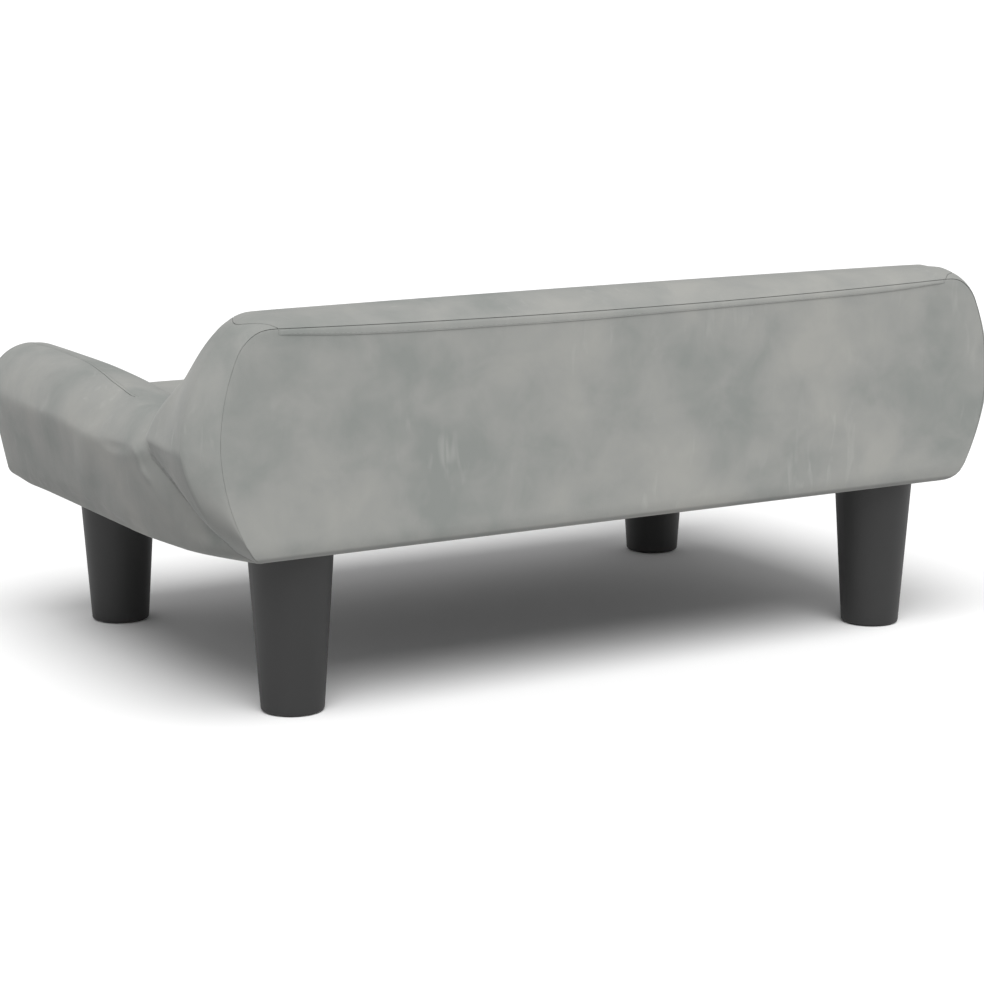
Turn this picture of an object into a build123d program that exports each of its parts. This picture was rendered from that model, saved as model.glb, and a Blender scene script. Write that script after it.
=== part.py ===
from build123d import *
import math
import os

# Dog bed: a low upholstered sofa with rolled arms and a boat-shaped back on four tapered legs
# X runs along the bed, Y from the front to the back, Z up from the floor, all in millimetres

# Overall sizes
overall_width = 700.0
overall_depth = 406.0
overall_height = 287.0
underside_height = 116.0
seat_height = 183.0
arm_height = 223.0

# Cover and clearances
cover_thickness = 1.5
soft_gap = 0.3
screw_gap = 0.1
overrun = 20.0

# Back bolster: widest level, reach of its rounded ends above and below it, and their shape
back_ridge_height = 195.0
back_top_run = 61.5
back_bottom_run = 54.0
gusset_depth = 23.0
back_front_narrowing = 2.5
back_front_rise = 32.0
back_front_blend = 50.0
gusset_upper_shares = ((0.0, 1.0), (0.245, 0.963), (0.45, 0.863), (0.845, 0.462), (1.0, 0.0))
gusset_lower_shares = ((0.0, 1.0), (0.16, 0.975), (0.31, 0.905), (0.755, 0.513), (1.0, 0.0))
front_upper_shares = ((0.0, 1.0), (0.2, 0.94), (0.375, 0.79), (0.715, 0.37), (1.0, 0.0))

# Rear panel: how far its seam lies inside the bolster's outline
panel_side_inset = 20.0
panel_top_drop = 9.3
panel_bottom_rise = 4.8
panel_upper_shares = ((0.0, 1.0), (0.355, 0.945), (0.607, 0.8), (0.888, 0.41), (1.0, 0.0))
panel_lower_shares = ((0.0, 1.0), (0.29, 0.955), (0.515, 0.83), (0.825, 0.468), (1.0, 0.0))

# Back bolster in side view
back_foot_depth = 99.0
back_top_depth = 59.0
back_crest_radius = 22.0
back_heel_radius = 12.0

# Arms and the flared sides under them
arm_ridge_inset = 3.0
arm_ridge_height = 182.5
arm_roll_width = 80.0
arm_side_flare = 20.5
arm_edge_radius = 5.0
arm_saddle_drop = 11.0
arm_rear_narrowing = 19.0
arm_rear_setback = 12.0
arm_under_shares = ((0.0, 1.0), (0.12, 0.988), (0.216, 0.952), (0.77, 0.5), (1.0, 0.0))
# Depth along the arm, share of the rear narrowing and share of the saddle drop
arm_station_shares = (
    (0.3, 0.0, 0.0), (0.45, 0.0, 0.2), (0.55, 0.0, 0.56), (0.64, 0.0, 0.92), (0.75, 0.1, 0.86),
    (0.86, 0.3, 0.78), (1.0, 1.0, 0.78),
)

# Seat
seat_crown = 4.0
seat_front_radius = 14.0

# Timber frame
frame_side_inset = 58.0
frame_end_inset = 15.0
rail_thickness = 18.0
rail_height = 35.0
batten_width = 40.0
corner_block_leg = 70.0
deck_thickness = 5.0
dust_cover_thickness = 0.8
back_board_thickness = 9.0
back_board_inset = 12.0
back_padding = 22.0
back_rib_thickness = 12.0
back_rib_end_inset = 88.0
back_rail_height = 12.0
wadding_inset = 3.0

# Arm frame
arm_padding = 16.0
arm_rib_thickness = 12.0
arm_top_rail_width = 24.0
arm_top_rail_height = 10.0
arm_top_rail_drop = 22.5
arm_side_rail_width = 12.0
arm_side_rail_height = 18.0
arm_side_rail_gap = 8.0
arm_side_rail_lift = 18.0

# Legs, each set in from the outside of the frame
leg_inset_x = 34.0
leg_inset_y = 31.0
leg_foot_diameter = 45.2
leg_top_diameter = 61.0
leg_wall = 3.0
leg_top_plate = 6.0
leg_edge_radius = 2.0
leg_boss_diameter = 22.0
leg_boss_depth = 26.0
leg_rib_thickness = 2.0
glide_proud = 0.6
glide_diameter = 38.0
glide_spigot_height = 5.0
glide_spigot_inset = 1.6

# Leg fixings
bolt_diameter = 8.0
bolt_in_leg = 22.0
bolt_clearance = 0.2
tee_nut_flange_diameter = 20.0
tee_nut_flange_thickness = 1.5
tee_nut_barrel_diameter = 10.4
tee_nut_barrel_length = 9.0

# Screws and staples
screw_diameter = 3.6
screw_head_diameter = 7.6
screw_head_height = 2.4
screw_length = 26.0
deck_screw_count = 4
board_screw_count = 5
staple_crown = 10.0
staple_leg = 6.0
staple_wire = 0.7
long_side_staple_count = 10
short_side_staple_count = 5
staple_edge_inset = 9.0

# The welt strip along the top of the rear panel
welt_height = 6.6

# Places worked out from the sizes above
half_width = overall_width / 2
rear = overall_depth / 2
front = -rear
frame_x = half_width - frame_side_inset
frame_y = rear - frame_end_inset
leg_x = frame_x - leg_inset_x
leg_y = frame_y - leg_inset_y
frame_bottom = underside_height + dust_cover_thickness
rail_top = frame_bottom + rail_height
deck_top = rail_top + deck_thickness
board_front = frame_y
board_rear = board_front + back_board_thickness
crest_z = overall_height - back_crest_radius
lean = math.atan2(back_foot_depth - back_top_depth, crest_z - seat_height)
foot_y = rear - back_foot_depth
arm_ridge = half_width - arm_ridge_inset
arm_roll = arm_roll_width / 2
arm_inner = arm_ridge - arm_roll_width
seat_half = arm_inner - soft_gap
right_angle = math.pi / 2
diagonal = math.sqrt(0.5)


def box(low, high):
    """A block between two opposite corners."""
    size = [b - a for a, b in zip(low, high)]
    return Solid.make_box(size[0], size[1], size[2]).moved(Location(low))


def save(name, shape):
    """Write one piece under its node name."""
    solids = shape if isinstance(shape, list) else shape.solids()
    export_step(solids[0] if len(solids) == 1 else Compound(list(solids)), f"parts/{name}.step")


def prism(corners, reach):
    """A straight-sided block swept from a closed outline along a vector."""
    outline = Wire.make_polygon([Vector(*corner) for corner in corners])
    return Solid.extrude(Face(outline), Vector(*reach))


def post(radius, low, high):
    """An upright cylinder at the middle of the bed between two levels."""
    return Solid.make_cylinder(radius, high - low, plane=Plane(origin=(0, 0, low)))


def largest(shape):
    """The largest solid of a shape."""
    return max(shape.solids(), key=lambda solid: solid.volume)


def cut(body, *tools):
    """The largest solid that is left of a body after the tools are taken from it."""
    left = body
    for tool in tools:
        left = left - tool
    return largest(left)


def blend(start, end, share):
    """A value or a table part of the way from one to another."""
    if isinstance(start, tuple):
        return tuple(blend(a, b, share) for a, b in zip(start, end))
    return start + (end - start) * share


def quarter(flat, ridge, shares):
    """Points of a rounded quarter, from the end of a flat to the widest point, as (x, z)."""
    return [
        (flat[0] + (ridge[0] - flat[0]) * across, ridge[1] + (flat[1] - ridge[1]) * up)
        for across, up in shares
    ]


def arcs(points):
    """Arcs through points taken three at a time, each starting where the last one ends."""
    return [Edge.make_three_point_arc(*points[i:i + 3]) for i in range(0, len(points) - 2, 2)]


def boat_wire(y, widest, level, top, bottom, shrink, upper, lower):
    """Closed outline with a flat top and bottom and rounded ends, standing across the depth at y."""
    ridge = (widest, level)
    upper_points = quarter((half_width - back_top_run - shrink / 2, top), ridge, upper)
    lower_points = quarter((half_width - back_bottom_run - shrink / 2, bottom), ridge, lower)
    right = upper_points + lower_points[-2::-1]
    left = [(-x, z) for x, z in reversed(right)]
    right = [Vector(x, y, z) for x, z in right]
    left = [Vector(x, y, z) for x, z in left]
    return Wire(
        arcs(right) + [Edge.make_line(right[-1], left[0])] + arcs(left) + [Edge.make_line(left[-1], right[0])]
    )


def panel_wire(y, inset):
    """Outline of the rear panel's seam, drawn in by an inset."""
    return boat_wire(
        y, half_width - panel_side_inset - inset, back_ridge_height, overall_height - panel_top_drop - inset,
        underside_height + panel_bottom_rise + inset, inset, panel_upper_shares, panel_lower_shares,
    )


def back_wires(inset):
    """Outlines of the bolster from the rear panel to the front, drawn in by an inset."""
    wires = []
    bulge_steps = 4
    for step in range(bulge_steps + 1):
        turn = right_angle * step / bulge_steps
        fullness = math.sin(turn)
        wires.append(boat_wire(
            rear - inset - gusset_depth * (1 - math.cos(turn)),
            half_width - inset - panel_side_inset * (1 - fullness), back_ridge_height,
            overall_height - inset - panel_top_drop * (1 - fullness),
            underside_height + inset + panel_bottom_rise * (1 - fullness), inset,
            blend(panel_upper_shares, gusset_upper_shares, fullness),
            blend(panel_lower_shares, gusset_lower_shares, fullness),
        ))
    blend_y = rear - inset - gusset_depth - back_front_blend
    for y in (blend_y, foot_y - overrun):
        wires.append(boat_wire(
            y, half_width - inset - back_front_narrowing, back_ridge_height, overall_height - inset,
            underside_height + inset + back_front_rise, inset, front_upper_shares, gusset_lower_shares,
        ))
    return wires


def side_prism(inset, reach):
    """The bolster's side view: heel, upright rear, crowned top and leaning front, run across the bed."""
    back_y = rear - inset
    top = overall_height - inset
    low = underside_height + inset
    heel = back_heel_radius - inset
    crest = back_crest_radius - inset
    slope = math.tan(lean)
    crest_y = foot_y + slope * (crest_z - seat_height) + back_crest_radius / math.cos(lean)
    seam = (back_y, overall_height - panel_top_drop - inset)
    peak = (crest_y, top)
    crown_radius = ((seam[0] - peak[0]) ** 2 + (peak[1] - seam[1]) ** 2) / (2 * (peak[1] - seam[1]))
    half_sweep = math.asin((seam[0] - peak[0]) / crown_radius) / 2
    crown = (peak[0] + crown_radius * math.sin(half_sweep), top - crown_radius * (1 - math.cos(half_sweep)))
    half_turn = (right_angle - lean) / 2
    brow = (crest_y - crest * math.sin(half_turn), crest_z + crest * math.cos(half_turn))
    lip = (crest_y - crest * math.cos(lean), crest_z + crest * math.sin(lean))
    foot = (foot_y + inset / math.cos(lean), seat_height)
    toe = (foot[0], low)
    heel_start = (back_y - heel, low)
    heel_middle = (back_y - heel + heel * diagonal, low + heel - heel * diagonal)
    heel_end = (back_y, low + heel)
    at = {name: Vector(-reach, *place) for name, place in (
        ("seam", seam), ("crown", crown), ("peak", peak), ("brow", brow), ("lip", lip), ("foot", foot),
        ("toe", toe), ("heel_start", heel_start), ("heel_middle", heel_middle), ("heel_end", heel_end),
    )}
    outline = Wire([
        Edge.make_three_point_arc(at["seam"], at["crown"], at["peak"]),
        Edge.make_three_point_arc(at["peak"], at["brow"], at["lip"]),
        Edge.make_line(at["lip"], at["foot"]),
        Edge.make_line(at["foot"], at["toe"]),
        Edge.make_line(at["toe"], at["heel_start"]),
        Edge.make_three_point_arc(at["heel_start"], at["heel_middle"], at["heel_end"]),
        Edge.make_line(at["heel_end"], at["seam"]),
    ])
    return Solid.extrude(Face(outline), Vector(2 * reach, 0, 0))


def back_core(inset, start, end, low, high):
    """A straight-sided block inside the back: upright behind, leaning in front, between two levels."""
    slope = math.tan(lean)
    shift = foot_y + inset / math.cos(lean)
    places = [
        (shift + slope * (low - seat_height), low), (shift + slope * (high - seat_height), high),
        (board_front, high), (board_front, low),
    ]
    return prism([(start, y, z) for y, z in places], (end - start, 0, 0))


def back_form(inset):
    """The whole padded back with its bulging ends."""
    ends = Solid.make_loft(back_wires(inset), ruled=True)
    return (ends & side_prism(inset, half_width + overrun)).solids()[0]


def front_zone():
    """Everything in front of the seam between the back's front cover and its band."""
    lip_z = crest_z + back_crest_radius * math.sin(lean)
    lip_y = foot_y + math.tan(lean) * (lip_z - seat_height)
    shift = 2 * cover_thickness / math.cos(lean)
    start_y = foot_y - overrun
    places = [
        (start_y, 0), (foot_y + shift, 0), (foot_y + shift, seat_height), (lip_y + shift, lip_z),
        (start_y, lip_z),
    ]
    return prism([(-half_width, y, z) for y, z in places], (overall_width, 0, 0))


def arm_wire(y, inset, narrowing, drop):
    """Outline of an arm and the flared side under it."""
    ridge = arm_ridge - inset - narrowing
    low = underside_height + inset
    roll_x = arm_ridge - narrowing - arm_roll
    roll = arm_roll - inset
    rise = arm_height - arm_ridge_height - inset - drop
    under = quarter(
        (arm_ridge - narrowing - arm_side_flare - inset / 2, low), (ridge, arm_ridge_height), arm_under_shares
    )
    over = [
        (roll_x + roll * diagonal, arm_ridge_height + rise * diagonal), (roll_x, arm_ridge_height + rise),
        (roll_x - roll * diagonal, arm_ridge_height + rise * diagonal), (roll_x - roll, arm_ridge_height),
    ]
    points = [Vector(x, y, z) for x, z in under + over]
    corner = Vector(roll_x - roll, y, low)
    return Wire([Edge.make_line(corner, points[0])] + arcs(points) + [Edge.make_line(points[-1], corner)])


def arm_form(inset):
    """The right arm from its flat front to inside the back, with a rounded front edge."""
    wires = []
    edge_steps = 3
    for step in range(edge_steps + 1):
        turn = right_angle * step / edge_steps
        draw_in = arm_edge_radius * (1 - math.sin(turn))
        wires.append(arm_wire(front + inset + arm_edge_radius * (1 - math.cos(turn)), inset + draw_in, 0, 0))
    rear_end = rear - arm_rear_setback
    for along, narrow, fall in arm_station_shares:
        wires.append(arm_wire(
            blend(front, rear_end, along), inset, arm_rear_narrowing * narrow, arm_saddle_drop * fall
        ))
    return Solid.make_loft(wires, ruled=True)


def arm_core(inset, start, end):
    """The straight core that the arm's padding is wrapped round."""
    return Solid.extrude(Face(arm_wire(start, inset, 0, 0)), Vector(0, end - start, 0))


def seat_form(inset):
    """The seat with a crowned top and a rounded front edge."""
    low = underside_height
    top = seat_height - inset
    front_y = front + inset
    turn = seat_front_radius - inset
    rear_y = foot_y + overrun
    start = (front_y, top - turn)
    middle = (front_y + turn - turn * diagonal, top - turn + turn * diagonal)
    end = (front_y + turn, top)
    nose = Edge.make_three_point_arc(*[Vector(-seat_half, y, z) for y, z in (start, middle, end)])
    straight = [end, (rear_y, top), (rear_y, low + inset), (front_y, low + inset), start]
    sides = Wire.make_polygon([Vector(-seat_half, y, z) for y, z in straight], close=False)
    block = Solid.extrude(Face(Wire([nose] + list(sides.edges()))), Vector(2 * seat_half, 0, 0))
    edge_z = top - seat_crown
    left_edge, right_edge = (Vector(x, front - overrun, edge_z) for x in (-seat_half, seat_half))
    left_low, right_low = (Vector(x, front - overrun, low) for x in (-seat_half, seat_half))
    arc = Edge.make_three_point_arc(left_edge, Vector(0, front - overrun, top), right_edge)
    sides = Wire.make_polygon([right_edge, right_low, left_low, left_edge], close=False)
    crown = Face(Wire([arc] + list(sides.edges())))
    crown_block = Solid.extrude(crown, Vector(0, rear_y - front + 2 * overrun, 0))
    return (block & crown_block).solids()[0]


def flip(shape):
    """The left-hand twin of a right-hand piece."""
    return shape.mirror(Plane.YZ)


def both_sides(name, shape):
    """Write a right-hand piece and its left-hand twin."""
    save(f"{name}_right", shape)
    save(f"{name}_left", flip(shape))


def screw(place, direction, gap):
    """A countersunk screw whose head is flush at a place, driven along a direction."""
    radius = screw_diameter / 2 + gap
    head = screw_head_diameter / 2 + gap
    seat = Plane(origin=place, z_dir=direction)
    cone = Solid.make_cone(head, radius, screw_head_height, plane=seat)
    shank = Solid.make_cylinder(radius, screw_length + gap, plane=seat)
    return (cone + shank).solids()[0]


def spread(count, reach):
    """Evenly spaced places from minus reach to plus reach."""
    return [reach * (2 * i / (count - 1) - 1) for i in range(count)]


os.makedirs("parts", exist_ok=True)

# Places of the screws
deck_line_y = frame_y - rail_thickness / 2
deck_places = [(x, y, deck_top) for x in spread(deck_screw_count, frame_x - corner_block_leg)
               for y in (-deck_line_y, deck_line_y)]
board_low = underside_height + panel_bottom_rise + back_board_inset
board_line_z = (board_low + rail_top) / 2
board_places = [(x, board_rear, board_line_z) for x in spread(board_screw_count, frame_x - corner_block_leg)]
rib_x = half_width - back_rib_end_inset
rib_centres = (-rib_x, 0, rib_x)
rib_line_z = (back_ridge_height + deck_top) / 2
rib_places = [(x, board_rear, rib_line_z) for x in rib_centres]
arm_rib_front = rail_thickness - frame_y
arm_rib_rear = foot_y - soft_gap - arm_padding
arm_rib_line_z = (frame_bottom + rail_top) / 2
arm_rib_centres = (arm_rib_front + arm_rib_thickness / 2, arm_rib_rear - arm_rib_thickness / 2)
end_places = [(frame_x - rail_thickness, y, arm_rib_line_z) for y in arm_rib_centres]
down, forward, outward = (0, 0, -1), (0, -1, 0), (1, 0, 0)
deck_holes = [screw(place, down, screw_gap) for place in deck_places]
board_holes = [screw(place, forward, screw_gap) for place in board_places]
rib_holes = [screw(place, forward, screw_gap) for place in rib_places]
end_holes = [screw(place, outward, screw_gap) for place in end_places]

# Staples that hold the dust cover
staple_x = frame_x - staple_edge_inset
staple_y = frame_y - staple_edge_inset
long_reach = leg_x - leg_top_diameter
short_reach = leg_y - leg_top_diameter


def staple(x, y, along_x):
    """A staple with its crown under the dust cover and two legs driven up."""
    half = staple_crown / 2
    wire = staple_wire / 2
    reach_x, reach_y = (half, wire) if along_x else (wire, half)
    low, high = underside_height - staple_wire, underside_height
    crown = box((x - reach_x, y - reach_y, low), (x + reach_x, y + reach_y, high))
    for end in (-1, 1):
        prong_x = x + end * (half - wire) * along_x
        prong_y = y + end * (half - wire) * (not along_x)
        prong = box((prong_x - wire, prong_y - wire, low), (prong_x + wire, prong_y + wire, low + staple_leg))
        crown = crown + prong
    return crown.solids()[0]


long_staples = [
    staple(x, side * staple_y, True)
    for x in spread(long_side_staple_count, long_reach) for side in (-1, 1)
]
short_staples = [
    staple(side * staple_x, y, False)
    for y in spread(short_side_staple_count, short_reach) for side in (-1, 1)
]
staples = long_staples + short_staples

# Corner blocks, tee nuts and leg bolts
inner_x = frame_x - rail_thickness
inner_y = frame_y - rail_thickness
flange_bottom = rail_top - tee_nut_flange_thickness
barrel_bottom = flange_bottom - tee_nut_barrel_length
bolt_bottom = underside_height - bolt_in_leg


def corner_block(side_x, side_y):
    """A three-cornered block in a corner of the frame, bored for the bolt and the tee nut."""
    places = [
        (side_x * inner_x, side_y * inner_y), (side_x * (inner_x - corner_block_leg), side_y * inner_y),
        (side_x * inner_x, side_y * (inner_y - corner_block_leg)),
    ]
    block = prism([(x, y, frame_bottom) for x, y in places], (0, 0, rail_height))
    axis = Location((side_x * leg_x, side_y * leg_y, 0))
    bores = [
        post(bolt_diameter / 2 + bolt_clearance, 0, rail_top + overrun),
        post(tee_nut_barrel_diameter / 2, barrel_bottom, rail_top),
        post(tee_nut_flange_diameter / 2 + screw_gap, flange_bottom, rail_top + overrun),
    ]
    return cut(block, *[bore.moved(axis) for bore in bores])


def tee_nut():
    """A flanged nut at the middle of the bed, to be moved over a leg."""
    flange = post(tee_nut_flange_diameter / 2, flange_bottom, rail_top)
    barrel = post(tee_nut_barrel_diameter / 2, barrel_bottom, flange_bottom)
    return cut(flange + barrel, post(bolt_diameter / 2 + screw_gap, 0, rail_top + overrun))


def leg():
    """A hollow tapered leg with a top plate, a bolt boss and four ribs."""
    foot = leg_foot_diameter / 2
    top = leg_top_diameter / 2
    taper = (top - foot) / underside_height
    base = Plane(origin=(0, 0, glide_proud))
    outer = Solid.make_cone(foot + taper * glide_proud, top, underside_height - glide_proud, plane=base)
    bottom_edge = outer.edges().filter_by(GeomType.CIRCLE).sort_by(Axis.Z)[0]
    outer = outer.fillet(leg_edge_radius, [bottom_edge])
    inner_top = underside_height - leg_top_plate
    inner_height = inner_top - glide_proud
    inner_foot = foot - leg_wall
    hollow = Solid.make_cone(inner_foot, inner_foot + taper * inner_height, inner_height, plane=base)
    boss_bottom = inner_top - leg_boss_depth
    boss = post(leg_boss_diameter / 2, boss_bottom, inner_top)
    half_rib = leg_rib_thickness / 2
    ribs = box((-top, -half_rib, boss_bottom), (top, half_rib, inner_top))
    ribs = ribs + box((-half_rib, -top, boss_bottom), (half_rib, top, inner_top))
    hollow = hollow - boss - ribs
    bore = post(bolt_diameter / 2 + screw_gap, bolt_bottom, underside_height + overrun)
    return cut(outer, hollow, bore)


def glide():
    """A floor glide whose spigot sits in the leg's open foot."""
    disc = post(glide_diameter / 2, 0, glide_proud)
    spigot_radius = leg_foot_diameter / 2 - leg_wall - glide_spigot_inset
    spigot = post(spigot_radius, glide_proud, glide_proud + glide_spigot_height)
    return (disc + spigot).solids()[0]


corners = [("front_left", -1, -1), ("front_right", 1, -1), ("rear_left", -1, 1), ("rear_right", 1, 1)]
plain_leg = leg()
plain_glide = glide()
plain_nut = tee_nut()
bolt = post(bolt_diameter / 2, bolt_bottom, flange_bottom)
leg_places = []
for name, side_x, side_y in corners:
    place = Location((side_x * leg_x, side_y * leg_y, 0))
    save(f"leg_{name}", plain_leg.moved(place))
    save(f"leg_glide_{name}", plain_glide.moved(place))
    save(f"corner_block_{name}", corner_block(side_x, side_y))
    leg_places.append(place)
save("leg_bolts", [bolt.moved(place) for place in leg_places])
save("tee_nuts", [plain_nut.moved(place) for place in leg_places])

# Base frame: long rails across the bed, end rails between them, a middle batten and the deck
for name, side in (("front_rail", -1), ("rear_rail", 1)):
    near, far = sorted((side * frame_y, side * inner_y))
    rail = box((-frame_x, near, frame_bottom), (frame_x, far, rail_top))
    holes = board_holes if side > 0 else []
    save(name, cut(rail, *holes, *deck_holes, *long_staples))
end_rail = box((inner_x, -inner_y, frame_bottom), (frame_x, inner_y, rail_top))
both_sides("end_rail", cut(end_rail, *end_holes, *short_staples))
save("centre_batten", box((-batten_width / 2, -inner_y, frame_bottom), (batten_width / 2, inner_y, rail_top)))
save("seat_deck", cut(box((-frame_x, -frame_y, rail_top), (frame_x, frame_y, deck_top)), *deck_holes))

# Dust cover under the frame, cut round the leg bolts
sheet = box((-frame_x, -frame_y, underside_height), (frame_x, frame_y, frame_bottom))
bolt_holes = [post(bolt_diameter / 2 + bolt_clearance, 0, rail_top).moved(place) for place in leg_places]
save("dust_cover", cut(sheet, *bolt_holes, *staples))
save("dust_cover_staples", staples)

# Back frame: plywood board, three ribs and a top rail
board = Solid.extrude(Face(panel_wire(board_rear, back_board_inset)), Vector(0, -back_board_thickness, 0))
save("back_board", cut(board, *board_holes, *rib_holes))
envelope = box((-frame_x, -frame_y, underside_height - overrun), (frame_x, frame_y, deck_top))
rail_high = overall_height - back_padding
rail_low = rail_high - back_rail_height
rib_half = back_rib_thickness / 2
top_rail_reach = rib_x + rib_half
back_cavity = back_core(
    back_padding, -top_rail_reach - soft_gap, top_rail_reach + soft_gap, deck_top, rail_high + soft_gap
)
for name, centre in zip(("left", "centre", "right"), rib_centres):
    rib = back_core(back_padding + soft_gap, centre - rib_half, centre + rib_half, deck_top, rail_low)
    save(f"back_rib_{name}", cut(rib, *rib_holes))
save("back_top_rail", back_core(
    back_padding + soft_gap, -top_rail_reach, top_rail_reach, rail_low, rail_high
))

# Arm frames: two ribs on each side, tied by a top rail and a side rail
arm_cavity = arm_core(arm_padding, arm_rib_front, arm_rib_rear)
for name, start in (("front", arm_rib_front), ("rear", arm_rib_rear - arm_rib_thickness)):
    rib = arm_core(arm_padding + soft_gap, start, start + arm_rib_thickness)
    both_sides(f"arm_rib_{name}", cut(rib, envelope, *end_holes))
rib_gap_start = arm_rib_front + arm_rib_thickness
rib_gap_end = arm_rib_rear - arm_rib_thickness
roll_centre = arm_ridge - arm_roll
top_rail_top = arm_height - arm_top_rail_drop
half = arm_top_rail_width / 2
both_sides("arm_top_rail", box(
    (roll_centre - half, rib_gap_start, top_rail_top - arm_top_rail_height),
    (roll_centre + half, rib_gap_end, top_rail_top),
))
side_rail_x = frame_x + arm_side_rail_gap
side_rail_z = frame_bottom + arm_side_rail_lift
both_sides("arm_side_rail", box(
    (side_rail_x, rib_gap_start, side_rail_z),
    (side_rail_x + arm_side_rail_width, rib_gap_end, side_rail_z + arm_side_rail_height),
))
save("frame_screws", [screw(place, down, 0) for place in deck_places]
     + [screw(place, forward, 0) for place in board_places + rib_places]
     + [screw(place, outward, 0) for place in end_places]
     + [flip(screw(place, outward, 0)) for place in end_places])

# Padding: foam round the back and arm frames, the seat pad and a thin wadding on the back board
foam_inset = cover_thickness + soft_gap
back_outer = back_form(-soft_gap)
back_padded = back_form(foam_inset)
wadding = Solid.extrude(
    Face(panel_wire(board_rear, wadding_inset)), Vector(0, rear - foam_inset - board_rear, 0)
)
wadding = (wadding & back_padded).solids()[0]
save("back_wadding", wadding)
save("back_foam", cut(back_padded, envelope, back_cavity, board, wadding))
seat_space = seat_form(-soft_gap)
both_sides("arm_foam", cut(arm_form(foam_inset), back_outer, seat_space, envelope, arm_cavity))
save("seat_foam", cut(seat_form(foam_inset), back_outer, envelope))

# Covers: sewn velvet skins over the padding, split at their seams
back_whole = back_form(0)
back_skin = back_whole - back_form(cover_thickness)
rear_start = rear - cover_thickness
rear_end = rear + overrun
above = overall_height + overrun
rear_slab = box((-half_width, rear_start, 0), (half_width, rear_end, above))
welt_low = overall_height - panel_top_drop - welt_height
welt_reach = half_width - back_top_run
welt_slab = box((-welt_reach, rear_start, welt_low), (welt_reach, rear_end, above))
rear_face = largest(back_whole & rear_slab)
save("top_welt", largest(rear_face & welt_slab))
save("outer_back_panel", cut(rear_face, welt_slab))
back_skin = back_skin - rear_slab - envelope
in_front = front_zone()
save("inner_back_cover", largest(back_skin & in_front))
save("back_band", largest(back_skin - in_front))
arm_whole = arm_form(0)
arm_front_slab = box((0, front - overrun, 0), (half_width, front + cover_thickness, overall_height))
both_sides("arm_front_panel", largest(arm_whole & arm_front_slab))
arm_skin = arm_whole - arm_form(cover_thickness)
both_sides("arm_cover", cut(arm_skin, arm_front_slab, back_outer, seat_space, envelope))
save("seat_cover", cut(seat_form(0) - seat_form(cover_thickness), back_outer, envelope))
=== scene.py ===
import math

import bmesh
import bpy
import numpy as np
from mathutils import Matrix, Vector
from mathutils.bvhtree import BVHTree
from mathutils.kdtree import KDTree


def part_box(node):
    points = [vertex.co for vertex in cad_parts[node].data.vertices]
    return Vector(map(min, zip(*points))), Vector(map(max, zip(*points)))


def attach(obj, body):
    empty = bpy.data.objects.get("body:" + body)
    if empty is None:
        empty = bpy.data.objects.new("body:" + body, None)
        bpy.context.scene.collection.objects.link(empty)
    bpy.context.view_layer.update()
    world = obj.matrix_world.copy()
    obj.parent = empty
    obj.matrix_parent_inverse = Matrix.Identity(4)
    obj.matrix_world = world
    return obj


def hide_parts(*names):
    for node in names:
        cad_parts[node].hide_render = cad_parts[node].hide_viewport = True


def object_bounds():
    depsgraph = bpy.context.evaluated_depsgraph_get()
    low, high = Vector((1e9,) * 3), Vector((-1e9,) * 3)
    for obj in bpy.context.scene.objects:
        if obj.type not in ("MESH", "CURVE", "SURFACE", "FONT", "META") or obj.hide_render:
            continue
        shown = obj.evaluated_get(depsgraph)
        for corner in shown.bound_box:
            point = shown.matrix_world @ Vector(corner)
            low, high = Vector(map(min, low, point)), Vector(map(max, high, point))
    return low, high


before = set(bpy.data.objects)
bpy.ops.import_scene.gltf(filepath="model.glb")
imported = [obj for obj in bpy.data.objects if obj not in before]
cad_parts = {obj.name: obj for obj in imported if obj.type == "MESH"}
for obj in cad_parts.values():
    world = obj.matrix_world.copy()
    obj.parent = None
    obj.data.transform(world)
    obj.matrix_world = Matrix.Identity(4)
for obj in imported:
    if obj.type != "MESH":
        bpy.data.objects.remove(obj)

cad_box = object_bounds()


# Base frame rails, corner blocks and ribs: planed pine, sawn to length, glued and screwed together.
# They are hidden once the bed is covered, and keep the shapes of the CAD nodes.
def linear(hex_colour):
    """An sRGB hex colour as linear red, green, blue and alpha."""
    parts = [int(hex_colour[i:i + 2], 16) / 255 for i in (1, 3, 5)]
    return [c / 12.92 if c <= 0.04045 else ((c + 0.055) / 1.055) ** 2.4 for c in parts] + [1.0]


def add_node(tree, kind, settings=None, **inputs):
    """A node with its settings, and its inputs set or linked; an underscore stands for a space."""
    added = tree.nodes.new(kind)
    for name, value in (settings or {}).items():
        setattr(added, name, value)
    for name, value in inputs.items():
        socket = added.inputs[int(name[1:])] if name[1:].isdigit() else added.inputs[name.replace("_", " ")]
        if isinstance(value, bpy.types.NodeSocket):
            tree.links.new(value, socket)
        else:
            socket.default_value = value
    return added


def start_material(name):
    """A new material with only its surface shader, as (material, tree, shader)."""
    material = bpy.data.materials.new(name)
    material.use_nodes = True
    tree = material.node_tree
    shader = next(n for n in tree.nodes if n.type == "BSDF_PRINCIPLED")
    return material, tree, shader


def finish_nodes(names, material):
    """Give CAD nodes that stay a better material."""
    for name in names:
        node_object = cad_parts[name]
        node_object.data.materials.clear()
        node_object.data.materials.append(material)


pine, tree, shader = start_material("planed_pine")
place = add_node(tree, "ShaderNodeTexCoord").outputs["Object"]
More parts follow.
